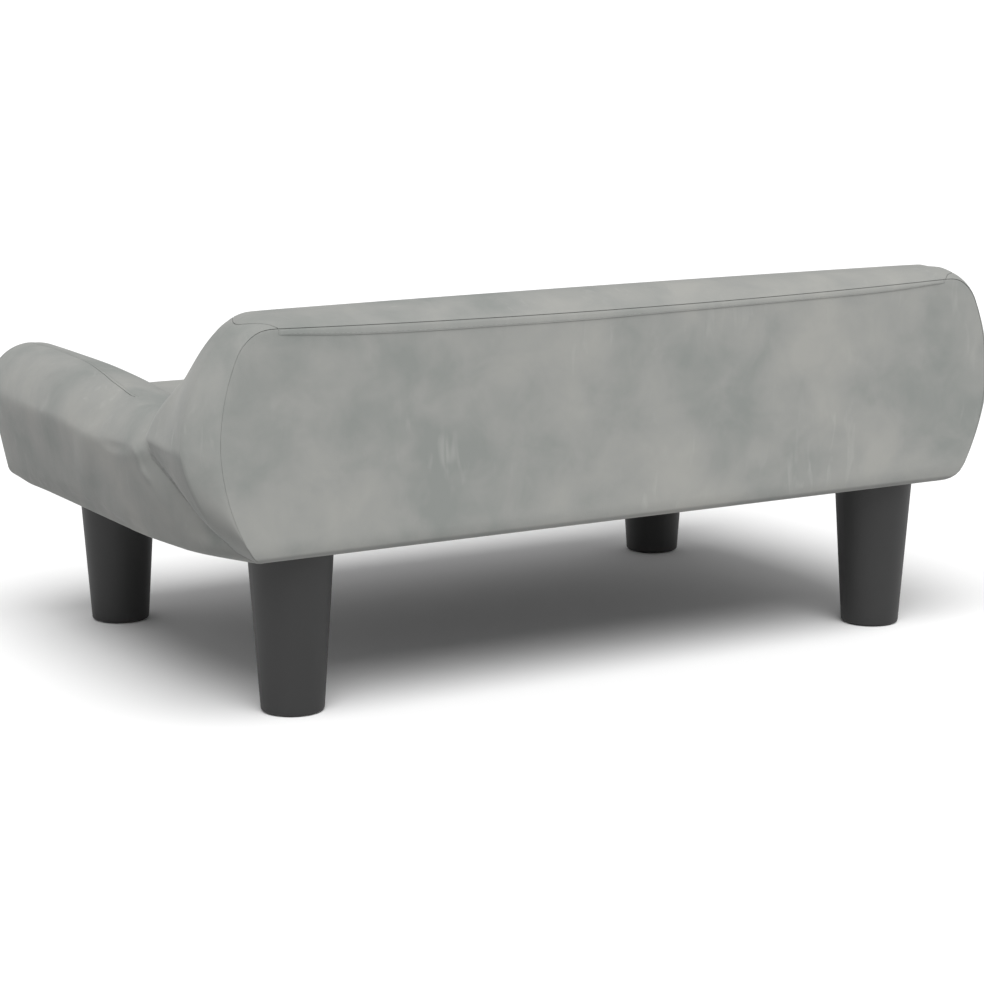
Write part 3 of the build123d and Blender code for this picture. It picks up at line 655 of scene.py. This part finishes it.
arm_middle = (arm_ridge - arm_roll - 0.004, 0.166)
arm_middle_loop = np.tile(arm_middle, (len(arm_loop(0, 0, 0, 1)), 1))
arm_rows = fill_outline(arm_middle_loop, arm_loop(0, 0, arm_edge, 1), front_y, np.linspace(0, 1, 14))
for turn in np.linspace(0, math.pi / 2, 7)[1:]:
    arm_rows.append(stand(arm_loop(0, 0, arm_edge * (1 - math.sin(turn)), 1),
                          front_y + arm_edge * (1 - math.cos(turn))))
arm_seam = len(arm_rows) - 1
arm_row_count = 220
heel_gap, heel_gap_over = 0.0006, 0.0025
for y in np.linspace(front_y + arm_edge, arm_end_y, arm_row_count)[1:]:
    narrow, drop, rounding, flare, lift = arm_station(y)
    row = stand(arm_loop(narrow, drop, 0, rounding, flare, lift), y)
    row[:, 1] = np.minimum(row[:, 1], heel(row[:, 2])[0] - heel_gap * (arm_end_y - y) / heel_gap_over)
    arm_rows.append(row)
close_end(arm_rows, arm_middle_loop, arm_end_y)
arm_rest = np.array(arm_rows)
arm_form = arm_rest + puff(arm_rest, [0, arm_seam, len(arm_rest) - 1], foam_pressure, arm_swell)


def outward_normals(rings):
    """The outward normal at each point of a closed grid of rings."""
    corners_at, index = weld(rings)
    index = index.reshape(rings.shape[:2])
    right = np.roll(index, -1, 1)
    quads = np.stack([index[:-1], index[1:], right[1:], right[:-1]], -1).reshape(-1, 4)
    face_normal = np.cross(corners_at[quads[:, 2]] - corners_at[quads[:, 0]],
                           corners_at[quads[:, 3]] - corners_at[quads[:, 1]])
    total = np.zeros_like(corners_at)
    for corner in range(4):
        np.add.at(total, quads[:, corner], face_normal)
    total /= np.maximum(np.linalg.norm(total, axis=1, keepdims=True), 1e-12)
    if ((corners_at - corners_at.mean(0)) * total).sum() < 0:
        total = -total
    return total[index]


end_from, rear_margin, near_reach = 0.22, 0.006, 0.02
turn_x, turn_z, sector, front_reach = 0.3, 0.16, 0.06, 0.008
line_spacing = 0.0005


def meeting_line(rings, other):
    """Places half a millimetre apart where one covered form passes into another, on the +X side."""
    corners_at, index = weld(other)
    tree = BVHTree.FromPolygons(corners_at.tolist(), grid_faces(index.reshape(other.shape[:2]), True))
    distance = np.full(rings.shape[:2], 1.0)
    flip = 1.0
    spot, normal, _, _ = tree.find_nearest((1.0, 0.0, 0.18))
    if normal.x < 0:
        flip = -1.0
    for i, j in np.argwhere((rings[..., 0] > end_from) & (rings[..., 1] < rear_y - rear_margin)):
        point = Vector(rings[i, j])
        spot, normal, _, _ = tree.find_nearest(point)
        distance[i, j] = flip * (point - spot).dot(normal)
    found = []
    for axis in (0, 1):
        near, far = distance, np.roll(distance, -1, axis)
        ends = np.roll(rings, -1, axis)
        for i, j in np.argwhere((near * far < 0) & (abs(near) < near_reach) & (abs(far) < near_reach)):
            share = near[i, j] / (near[i, j] - far[i, j])
            found.append(rings[i, j] + (ends[i, j] - rings[i, j]) * share)
    found = np.array(found)
    turn = np.arctan2(found[:, 2] - turn_z, found[:, 0] - turn_x)
    turn = np.where(turn < -math.pi / 2 - 0.6, turn + 2 * math.pi, turn)
    line = []
    for low in np.arange(turn.min(), turn.max(), sector):
        group = found[(turn >= low) & (turn < low + sector)]
        if len(group):
            line.append(group[group[:, 1] < group[:, 1].min() + front_reach].mean(0))
    line = np.array(line)
    padded_line = np.concatenate([line[:1], line, line[-1:]])
    line = (padded_line[:-2] + 2 * padded_line[1:-1] + padded_line[2:]) / 4
    run = np.concatenate([[0], np.cumsum(np.linalg.norm(np.diff(line, axis=0), axis=1))])
    at = np.arange(0, run[-1], line_spacing)
    return np.stack([np.interp(at, run, line[:, axis]) for axis in range(3)], -1)


def nearest_on(line, places):
    """For each place, the number of the nearest point of a line and how far off that is."""
    tree = KDTree(len(line))
    for number, point in enumerate(line):
        tree.insert(point, number)
    tree.balance()
    found = [tree.find(place)[1:] for place in places]
    return np.array([number for number, _ in found]), np.array([away for _, away in found])


hem_start, hem_fade = 0.002, 0.014
outer_start, outer_fade = 0.292, 0.03


def draw_in(rings, line, heights, depths, widths):
    """Pull a cover in along a line, so that it rolls over on both sides as padding does at a crease."""
    number, distance = nearest_on(line, [(abs(x), y, z) for x, y, z in rings.reshape(-1, 3)])
    line_z = line[number, 2]
    share = np.clip(1 - distance / np.interp(line_z, heights, widths), 0, 1)
    above_hem = eased((rings[..., 2].reshape(-1) - underside_z - hem_start) / hem_fade)
    outer_side = eased((abs(rings[..., 0].reshape(-1)) - outer_start) / outer_fade)
    pull = np.interp(line_z, heights, depths) * share ** 2 * above_hem * outer_side
    return rings - outward_normals(rings) * pull.reshape(rings.shape[:2])[..., None]


def smooth_path(points, sign, spacing=0.0008):
    """Evenly spaced points of a smooth curve through a seam's places, in metres."""
    points = np.array(points) / 1000 * [sign, 1, 1]
    run = np.concatenate([[0], np.cumsum(np.linalg.norm(np.diff(points, axis=0), axis=1))])
    slope = np.gradient(points, run, axis=0)
    at = np.linspace(0, run[-1], int(run[-1] / spacing))
    part = np.clip(np.searchsorted(run, at, side="right") - 1, 0, len(run) - 2)
    length = (run[part + 1] - run[part])[:, None]
    t = (at - run[part])[:, None] / length
    return ((2 * t ** 3 - 3 * t ** 2 + 1) * points[part] + (t ** 3 - 2 * t ** 2 + t) * length * slope[part]
            + (3 * t ** 2 - 2 * t ** 3) * points[part + 1] + (t ** 3 - t ** 2) * length * slope[part + 1])


def raise_line(rings, points, height, width):
    """Raise or sink a soft line of a cover through given places, fading out at both ends."""
    line = smooth_path(points, 1)
    number, distance = nearest_on(line, rings.reshape(-1, 3))
    share = np.clip(1 - (distance / width) ** 2, 0, 1) ** 2
    fade = np.sin(number / len(line) * math.pi)
    return rings + outward_normals(rings) * (height * share * fade).reshape(rings.shape[:2])[..., None]


crease = meeting_line(back_form, arm_form)
crease_heights = (0.125, 0.15, 0.18, 0.195, 0.212)
crease_depths = (0.003, 0.005, 0.005, 0.0026, 0.001)
back_form = draw_in(back_form, crease, crease_heights, crease_depths, (0.018, 0.026, 0.031, 0.028, 0.02))
arm_form = draw_in(arm_form, crease, crease_heights, crease_depths, (0.022, 0.032, 0.034, 0.026, 0.015))

# Folds of the arm's cover below its widest line: one upright fold half-way along, a hollow beside the crease
# and two puckers drawn to it
upright_fold = ((346.3, -4.0, 190.0), (345.8, -3.0, 177.6), (343.7, -7.0, 165.6), (340.5, -14.0, 149.2),
                (337.0, -22.0, 132.5))
crease_hollow = ((346.2, 30.0, 182.0), (345.8, 61.5, 182.0), (345.0, 86.0, 184.5))
upper_pucker = ((344.4, 84.0, 190.5), (344.6, 91.1, 182.0), (343.6, 94.0, 172.0))
lower_pucker = ((343.0, 94.0, 176.0), (341.9, 98.1, 168.6), (340.0, 105.0, 162.0))
for fold, height, width in ((upright_fold, 0.0010, 0.022), (crease_hollow, -0.0008, 0.006),
                            (upper_pucker, 0.0010, 0.005), (lower_pucker, 0.0010, 0.005)):
    arm_form = raise_line(arm_form, fold, height, width)


def cut_away(body, cutter):
    """Take a closed shape away from a piece and drop the cutter."""
    trim = body.modifiers.new("cut", "BOOLEAN")
    trim.operation = "DIFFERENCE"
    trim.solver = "MANIFOLD"
    trim.object = cutter
    bpy.context.view_layer.update()
    mesh = bpy.data.meshes.new_from_object(body.evaluated_get(bpy.context.evaluated_depsgraph_get()))
    body.modifiers.remove(trim)
    old = body.data
    body.data = mesh
    bpy.data.meshes.remove(old)
    spare = cutter.data
    bpy.data.objects.remove(cutter)
    bpy.data.meshes.remove(spare)
    mesh.polygons.foreach_set("use_smooth", [True] * len(mesh.polygons))
    mesh.set_sharp_from_angle(angle=math.radians(40))


def block(low, high):
    """A plain closed block used only to cut with."""
    mesh = bpy.data.meshes.new("block")
    work = bmesh.new()
    bmesh.ops.create_cube(work, size=1.0)
    for v in work.verts:
        v.co = [a + (b - a) * (c + 0.5) for a, b, c in zip(low, high, v.co)]
    work.to_mesh(mesh)
    work.free()
    return linked("block", mesh)


frame_gap = 0.0004
deck_low, deck_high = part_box("seat_deck")


def frame_block():
    """The space that the timber frame takes up under the padding."""
    return block((deck_low.x - frame_gap, deck_low.y - frame_gap, underside_z - 0.02),
                 (deck_high.x + frame_gap, deck_high.y + frame_gap, deck_high.z + frame_gap))


def swollen_back(gap):
    """The closed shape of the back, made a little bigger, to cut its neighbours with."""
    swollen = back_form + outward_normals(back_form) * gap
    return grid_object("back_cutter", swollen, velvet, wrap=True, closed=True)


normal_passes = 12


def laid_on(piece, path):
    """A path brought on to a piece's surface, with the surface normal at each point."""
    found = [piece.closest_point_on_mesh(Vector(point)) for point in path]
    places = np.array([spot for _, spot, _, _ in found])
    normals = np.array([normal for _, _, normal, _ in found])
    for _ in range(normal_passes):
        normals[1:-1] = (normals[:-2] + 2 * normals[1:-1] + normals[2:]) / 4
    return places, normals / np.linalg.norm(normals, axis=1, keepdims=True)


lip_share, wall_share = 1.6, 0.9


def seam_groove(piece, path, width, depth):
    """Press a fine seam line into a piece along a path on its surface."""
    places, normals = laid_on(piece, path)
    along = np.gradient(places, axis=0)
    side = np.cross(along, normals)
    side = side / np.linalg.norm(side, axis=1, keepdims=True) * width / 2
    edges = [places + side * lip_share + normals * depth, places + side * wall_share, places - normals * depth,
             places - side * wall_share, places - side * lip_share + normals * depth]
    rows = np.array(edges + edges[:1])
    ends = [np.repeat(rows[:-1, i].mean(0)[None], len(rows), 0)[:, None] for i in (0, -1)]
    cut_away(piece, grid_object("groove", np.concatenate([ends[0], rows, ends[1]], 1), velvet, closed=True))


def edge_frame(rings, way_out):
    """A panel's middle and seam, and the way in over its face and out of it at each point of the seam."""
    middle, ring = rings[0], rings[-1]
    inward = rings[-3] - ring
    inward /= np.linalg.norm(inward, axis=1, keepdims=True)
    outward = np.cross(np.roll(ring, -1, 0) - np.roll(ring, 1, 0), inward)
    outward = outward / np.linalg.norm(outward, axis=1, keepdims=True)
    return middle, ring, inward, outward * np.sign((outward * way_out).sum(1).mean())


def tray(rings, way_out, depth):
    """Rings of the shallow seat under a sewn-in panel, from its middle out to the seam."""
    middle, ring, inward, outward = edge_frame(rings, way_out)
    floor = ring + inward * 0.00005 - outward * depth
    floor_middle = middle - way_out * depth
    wall = [ring + inward * inset - outward * drop
            for inset, drop in ((0.00005, 0.0022), (0.00003, 0.0009), (0.00002, 0.0003))]
    return [floor_middle + (floor - floor_middle) * share for share in np.linspace(0, 1, 12)] + wall


narrow_share, wide_from, wide_over = 0.45, 0.235, 0.04


def pad_rings(rings, way_out, depth):
    """Closed rings of a thin sewn panel: its face, its rolled edge and its flat back."""
    middle, ring, inward, outward = edge_frame(rings, way_out)
    rolled = [(0.0012, 0.0), (0.0007, 0.00006), (0.00045, 0.0002), (0.0003, 0.0005), (0.00025, 0.0012),
              (0.00025, depth)]
    open_share = narrow_share + (1 - narrow_share) * eased((ring[:, 2:] - wide_from) / wide_over)
    edge = [ring + inward * inset * open_share - outward * drop for inset, drop in rolled]
    back_middle = middle - way_out * depth
    back = [back_middle + (edge[-1] - back_middle) * share for share in np.linspace(1, 0, 12)[1:]]
    return np.array(list(rings[:-2]) + edge + back)


tray_depth = 0.0055
pad_depth = 0.0048
rear_way = np.array([0.0, 1.0, 0.0])
front_way = np.array([0.0, -1.0, 0.0])
bolster_rings = np.array(tray(back_form[:rear_seam + 1], rear_way, tray_depth)
                         + list(back_form[rear_seam:front_seam + 1])
                         + tray(back_form[front_seam:][::-1], front_way, tray_depth)[::-1])
back_bolster = grid_object("back_bolster", bolster_rings, velvet, wrap=True, closed=True)
cut_away(back_bolster, frame_block())
# Where the top of the band is sewn to the padded ends: from the rear corner out over the shoulder, then back
# in to the corner of the front panel
shoulder_seam = ((287.0, 203.0, 279.0), (289.6, 200.6, 279.6), (292.2, 198.3, 280.2), (298.2, 195.4, 281.3),
                 (305.1, 189.7, 281.7), (308.6, 182.0, 280.6), (307.5, 175.5, 281.6), (304.4, 168.5, 282.7),
                 (301.2, 162.5, 283.0), (298.7, 157.5, 281.9), (297.0, 152.8, 278.8), (295.2, 149.8, 275.4))
seam_width = 0.0007
shoulder_seam_depth, crest_seam_depth = 0.0008, 0.0007
for sign in (1, -1):
    seam_groove(back_bolster, smooth_path(shoulder_seam, sign), seam_width, shoulder_seam_depth)
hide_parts("back_band", "back_foam")
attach(back_bolster, "root")

# The wrap's seam runs along the crest of each arm and drifts outwards towards the back
crest_seam = ((310.6, -196.0, 222.8), (310.6, -186.5, 222.8), (308.9, -171.3, 222.9), (308.4, -151.2, 222.9),
              (309.1, -128.2, 222.9), (310.5, -104.1, 222.8), (311.8, -80.6, 222.4), (315.0, -52.8, 221.1),
              (317.1, -32.1, 219.7), (319.3, -11.4, 217.8), (320.2, 5.8, 216.1), (321.2, 19.9, 214.6),
              (321.3, 36.0, 213.8))
arm_floor = fill_outline(arm_middle_loop, arm_loop(0, 0, arm_edge + 0.001, 1), front_y + arm_edge + 0.0008,
                         np.linspace(0, 1, 10))
arm_lip = [stand(arm_loop(0, 0, inset, 1), front_y + arm_edge + step)
           for inset, step in ((0.0016, 0.0008), (0.0008, 0.0009), (0.0003, 0.0012), (0.00005, 0.0018))]
arm_body = np.array(arm_floor + arm_lip + list(arm_form[arm_seam + 2:]))
for side, sign in (("right", 1), ("left", -1)):
    arm = grid_object(f"arm_{side}", arm_body * [sign, 1, 1], velvet, wrap=True, closed=True)
    cut_away(arm, swollen_back(0.0001))
    cut_away(arm, frame_block())
    seam_groove(arm, smooth_path(crest_seam, sign), seam_width, crest_seam_depth)
    # Marks the arms, where the painted shade follows only how far the cloth faces down
    painted_shade_down_only = arm.data.attributes.new("painted_shade_down_only", "FLOAT", "POINT")
    painted_shade_down_only.data.foreach_set("value", [1.0] * len(arm.data.vertices))
    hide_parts(f"arm_cover_{side}", f"arm_foam_{side}")
    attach(arm, "root")

# Rear panel: a flat panel of the same velvet over thin wadding on the plywood back board.
# It is sewn in along its ends, and its lower edge is rolled under the heel and fixed there.
rear_panel_rings = pad_rings(back_form[:rear_seam + 1], rear_way, pad_depth)
rear_panel = grid_object("outer_back_panel_cover", rear_panel_rings, velvet, wrap=True, closed=True)
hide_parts("outer_back_panel", "back_wadding")
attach(rear_panel, "root")

# Inner panel: the leaning face of the back above the seat, velvet over the thick foam of the back.
# It is sewn in all round and swells a little between its seams.
inner_panel_rings = pad_rings(back_form[front_seam:][::-1], front_way, pad_depth)
inner_panel = grid_object("inner_back_panel_cover", inner_panel_rings, velvet, wrap=True, closed=True)
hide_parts("inner_back_cover")
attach(inner_panel, "root")

# Welt strip: the top band's seam allowance, folded flat over the top of the rear panel and stitched down.
# It is widest in the middle and narrowest at the left-hand end seam, seen from the front.
strip_count = 190
strip_left, strip_right = -0.2864, 0.2868
strip_x = np.linspace(strip_left, strip_right, strip_count)
strip_middle_z = 0.2738
strip_top = strip_middle_z + seam_bow * (strip_x / top_reach) ** 2
foot_x = (strip_left, -0.255, -0.208, -0.0914, 0.0443, 0.1789, 0.2476, strip_right)
foot_z = (0.2764, 0.2730, 0.2713, 0.2698, 0.2680, 0.2690, 0.2710, 0.2748)
smoothing = 19
strip_foot = np.pad(np.interp(strip_x, foot_x, foot_z), smoothing // 2, "edge")
strip_foot = np.convolve(strip_foot, np.ones(smoothing) / smoothing, "valid")
section = ((0.0, -0.0012), (0.0, 0.0001), (0.06, 0.0004), (0.3, 0.0006), (0.7, 0.0007), (0.92, 0.0006),
           (1.0, 0.0002), (1.0, -0.0012))
strip_rows = []
strip_taper, thinnest = 0.006, 0.15
strip_rise = np.clip(np.minimum(strip_x - strip_x[0], strip_x[-1] - strip_x) / strip_taper, thinnest, 1)
behind_y = 0.21
for down, out in section + section[:1]:
    z = strip_top + (strip_foot - strip_top) * down
    on_panel = [rear_panel.closest_point_on_mesh(Vector((a, behind_y, b)))[1].y for a, b in zip(strip_x, z)]
    strip_rows.append(np.stack([strip_x, np.array(on_panel) + max(out, 0) * strip_rise + min(out, 0), z], -1))
strip_rings = np.array(strip_rows)
caps = [np.repeat(strip_rings[:-1, i].mean(0)[None], len(strip_rings), 0) for i in (0, -1)]
strip_rings = np.concatenate([caps[0][:, None], strip_rings, caps[1][:, None]], 1)
welt = grid_object("top_welt_strip", strip_rings, velvet, closed=True)
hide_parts("top_welt")
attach(welt, "root")

# Arm front panels: a padded velvet panel closes the front of each arm's roll and flared side.
# It is sewn to the wrap along a seam that runs just behind its rounded edge.
arm_hem = [stand(arm_loop(0, 0, inset, 1), front_y + arm_edge + step)
           for inset, step in ((0.0, -0.0008), (0.0003, -0.0002), (0.0009, 0.0), (0.0016, 0.0))]
arm_hem += fill_outline(arm_middle_loop, arm_loop(0, 0, arm_edge, 1), front_y + arm_edge,
                        np.linspace(1, 0, 8))
arm_panel_rows = np.array(list(arm_form[:arm_seam]) + arm_hem)
for side, sign in (("right", 1), ("left", -1)):
    arm_panel = grid_object(f"arm_front_pad_{side}", arm_panel_rows * [sign, 1, 1], velvet,
                            wrap=True, closed=True)
    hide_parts(f"arm_front_panel_{side}")
    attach(arm_panel, "root")

# Seat: a foam pad on the plywood deck with its cover pulled over the front rail.
# The pad is crowned across its width, and its front edge is rounded.
seat_gap = 0.0016
seat_reach = arm_ridge - 2 * arm_roll - seat_gap
seat_round = 0.014
seat_back_y = foot_y + 0.020
seat_crown = 0.003
seat_corner = 0.006
seat_across, seat_down, corner_steps = 150, 18, 5
seat_row_count = 90
side_share, foot_share = 0.3, 0.2
seat_pressure, seat_swell, seat_hold_reach = 2.0, 0.003, 0.03


def seat_loop(inset):
    """A rounded block outline with a crowned top, as (x, z), clockwise from the top left."""
    reach, top = seat_reach - inset * side_share, seat_z + seat_crown - inset
    bottom = underside_z + inset * foot_share
    corner_x, edge_z = reach - seat_corner, top - seat_crown
    corner_z = edge_z - seat_corner
    x = np.linspace(-reach + seat_corner, corner_x, seat_across)
    crown = np.stack([x, top - seat_crown * (x / reach) ** 2], -1)
    turn = np.linspace(0, math.pi / 2, corner_steps + 2)[1:-1]
    right_top = np.stack([corner_x + seat_corner * np.sin(turn), corner_z + seat_corner * np.cos(turn)], -1)
    right_side = np.stack([np.full(seat_down, reach), np.linspace(corner_z, bottom, seat_down)], -1)
    floor_x = np.linspace(reach, -reach, seat_across)[1:-1]
    floor_line = np.stack([floor_x, np.full(len(floor_x), bottom)], -1)
    left = np.concatenate([right_top, right_side])[::-1] * [-1, 1]
    return np.concatenate([crown, right_top, right_side, floor_line, left])


core_reach, core_z = 0.2, 0.150
seat_side_points = corner_steps + seat_down
seat_middle_x = np.concatenate([
    np.linspace(-core_reach, core_reach, seat_across), np.full(seat_side_points, core_reach),
    np.linspace(core_reach, -core_reach, seat_across)[1:-1], np.full(seat_side_points, -core_reach),
])
seat_middle = np.stack([seat_middle_x, np.full(len(seat_middle_x), core_z)], -1)
seat_rows = fill_outline(seat_middle, seat_loop(seat_round), front_y, np.linspace(0, 1, 10))
for turn in np.linspace(0, math.pi / 2, 9)[1:]:
    rolled_y = front_y + seat_round * (1 - math.cos(turn))
    seat_rows.append(stand(seat_loop(seat_round * (1 - math.sin(turn))), rolled_y))
for y in np.linspace(front_y + seat_round, seat_back_y, seat_row_count)[1:]:
    seat_rows.append(stand(seat_loop(0), y))
close_end(seat_rows, seat_middle, seat_back_y)
seat_rest = np.array(seat_rows)
seat_hold = eased((seat_rest[..., 2:] - underside_z) / seat_hold_reach)
seat_form = seat_rest + puff(seat_rest, [0, len(seat_rest) - 1], seat_pressure, seat_swell) * seat_hold
seat_pad = grid_object("seat_pad", seat_form, velvet, wrap=True, closed=True)
cut_away(seat_pad, frame_block())
cut_away(seat_pad, swollen_back(0.0004))
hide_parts("seat_cover", "seat_foam")
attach(seat_pad, "root")


# Topstitching: tone-in-tone spun polyester thread, one stitch every 4 mm. It holds the welt strip down and
# runs inside the crest seam of each arm. Each stitch is a short rounded length of thread sunk in the pile.
thread, tree, shader = start_material("grey_spun_polyester_thread")
place = add_node(tree, "ShaderNodeTexCoord").outputs["Object"]
ply = add_node(tree, "ShaderNodeTexNoise", Vector=place, Scale=2500.0, Detail=1.0).outputs["Fac"]
ramp = add_node(tree, "ShaderNodeValToRGB", Fac=ply)
ramp.color_ramp.elements[0].color = linear("#7f827f")
ramp.color_ramp.elements[1].color = linear("#989a97")
tree.links.new(ramp.outputs[0], shader.inputs["Base Color"])
shader.inputs["Roughness"].default_value = 0.7

stitch_tree = bpy.data.node_groups.new("stitches", "GeometryNodeTree")
stitch_inputs = {}
for title, kind in (("Geometry", "Geometry"), ("Pitch", "Float"), ("Length", "Float"), ("Thickness", "Float"),
                    ("Material", "Material")):
    made = stitch_tree.interface.new_socket(title, in_out="INPUT", socket_type=f"NodeSocket{kind}")
    stitch_inputs[title] = made.identifier
stitch_tree.interface.new_socket("Geometry", in_out="OUTPUT", socket_type="NodeSocketGeometry")
given = add_node(stitch_tree, "NodeGroupInput").outputs
seam_curve = add_node(stitch_tree, "GeometryNodeMeshToCurve", Mesh=given["Geometry"]).outputs[0]
spots = add_node(stitch_tree, "GeometryNodeResampleCurve", {"mode": "LENGTH"}, Curve=seam_curve,
                 Length=given["Pitch"]).outputs[0]
tangent = add_node(stitch_tree, "GeometryNodeInputTangent").outputs[0]
turned = add_node(stitch_tree, "FunctionNodeAlignRotationToVector", {"axis": "Z"}, Vector=tangent).outputs[0]
size = add_node(stitch_tree, "ShaderNodeCombineXYZ", X=given["Thickness"], Y=given["Thickness"],
                Z=given["Length"]).outputs[0]
bead = add_node(stitch_tree, "GeometryNodeMeshUVSphere", Segments=8, Rings=5, Radius=0.5).outputs["Mesh"]
laid = add_node(stitch_tree, "GeometryNodeInstanceOnPoints", Points=spots, Instance=bead, Rotation=turned,
                Scale=size)
solid = add_node(stitch_tree, "GeometryNodeRealizeInstances", Geometry=laid.outputs[0]).outputs[0]
smooth = add_node(stitch_tree, "GeometryNodeSetShadeSmooth", Geometry=solid).outputs[0]
dressed = add_node(stitch_tree, "GeometryNodeSetMaterial", Geometry=smooth, Material=given["Material"])
add_node(stitch_tree, "NodeGroupOutput", Geometry=dressed.outputs[0])
stitch_pitch, stitch_length, thread_thickness = 0.004, 0.0031, 0.0004


def stitch_along(name, piece, path):
    """A run of stitches laid on a piece along a path."""
    places, normals = laid_on(piece, path)
    line = bpy.data.meshes.new(name)
    line.from_pydata((places + normals * 0.00005).tolist(), [(i, i + 1) for i in range(len(places) - 1)], [])
    run = linked(name, line)
    sewing = run.modifiers.new("stitches", "NODES")
    sewing.node_group = stitch_tree
    for title, value in (("Pitch", stitch_pitch), ("Length", stitch_length), ("Thickness", thread_thickness),
                         ("Material", thread)):
        sewing[stitch_inputs[title]] = value
    bpy.context.view_layer.update()
    mesh = bpy.data.meshes.new_from_object(run.evaluated_get(bpy.context.evaluated_depsgraph_get()))
    run.modifiers.remove(sewing)
    run.data = mesh
    bpy.data.meshes.remove(line)
    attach(run, "root")


above_foot = 0.0014
inside_seam_mm = 2.4
welt_line = np.stack([strip_x, strip_rows[4][:, 1] + 0.002, strip_foot + above_foot], -1)[4:-4]
stitch_along("welt_topstitch", welt, welt_line)
for side, sign in (("right", 1), ("left", -1)):
    stitch_along(f"arm_topstitch_{side}", bpy.data.objects[f"arm_{side}"],
                 smooth_path([(x - inside_seam_mm, y, z) for x, y, z in crest_seam[1:]], sign))


# Studio: a pale seamless floor under one broad soft light from above and behind the camera, with a weak even
# fill. The camera stands where the photograph was taken from, behind the bed and a little above it.
paper, tree, shader = start_material("pale_studio_paper")
shader.inputs["Base Color"].default_value = linear("#f1f1f1")
shader.inputs["Roughness"].default_value = 0.9
shader.inputs["Specular IOR Level"].default_value = 0.0
floor_mesh = bpy.data.meshes.new("floor")
floor_reach = 400.0
floor_mesh.from_pydata([(-floor_reach, -floor_reach, 0), (floor_reach, -floor_reach, 0),
                        (floor_reach, floor_reach, 0), (-floor_reach, floor_reach, 0)], [], [(0, 1, 2, 3)])
floor_mesh.materials.append(paper)
floor = linked("floor", floor_mesh)

world = bpy.data.worlds.new("studio")
bpy.context.scene.world = world
world.use_nodes = True
background = next(n for n in world.node_tree.nodes if n.type == "BACKGROUND")
background.inputs[0].default_value = linear("#ffffff")
background.inputs[1].default_value = 0.5

light_data = bpy.data.lights.new("broad_soft_light", "SUN")
light_data.energy = 2.95
light_data.angle = math.radians(50)
light = linked("broad_soft_light", light_data)
light.rotation_euler = Vector((0.2, 0.5, 1.0)).to_track_quat("Z", "Y").to_euler()
bpy.context.scene.view_settings.view_transform = "Standard"

camera_data = bpy.data.cameras.new("camera")
sensor_width = 36.0
picture_width = 984
focal_pixels = 2641.199
camera_data.sensor_width = sensor_width
camera_data.lens = focal_pixels / picture_width * sensor_width
camera = linked("camera", camera_data)
azimuth, elevation = math.radians(149.562), math.radians(11.127)
# The camera was worked out round a bed 0.62 m wide, and camera_scale brings its lengths to the real 0.70 m
camera_scale = 1.129
distance = 1.727984 * camera_scale
target = Vector([place * camera_scale for place in (0.072326, 0.119956, 0.120)])
outward = Vector((math.sin(azimuth) * math.cos(elevation), -math.cos(azimuth) * math.cos(elevation),
                  math.sin(elevation)))
camera.location = target + outward * distance
camera.rotation_euler = (-outward).to_track_quat("-Z", "Y").to_euler()
bpy.context.scene.camera = camera
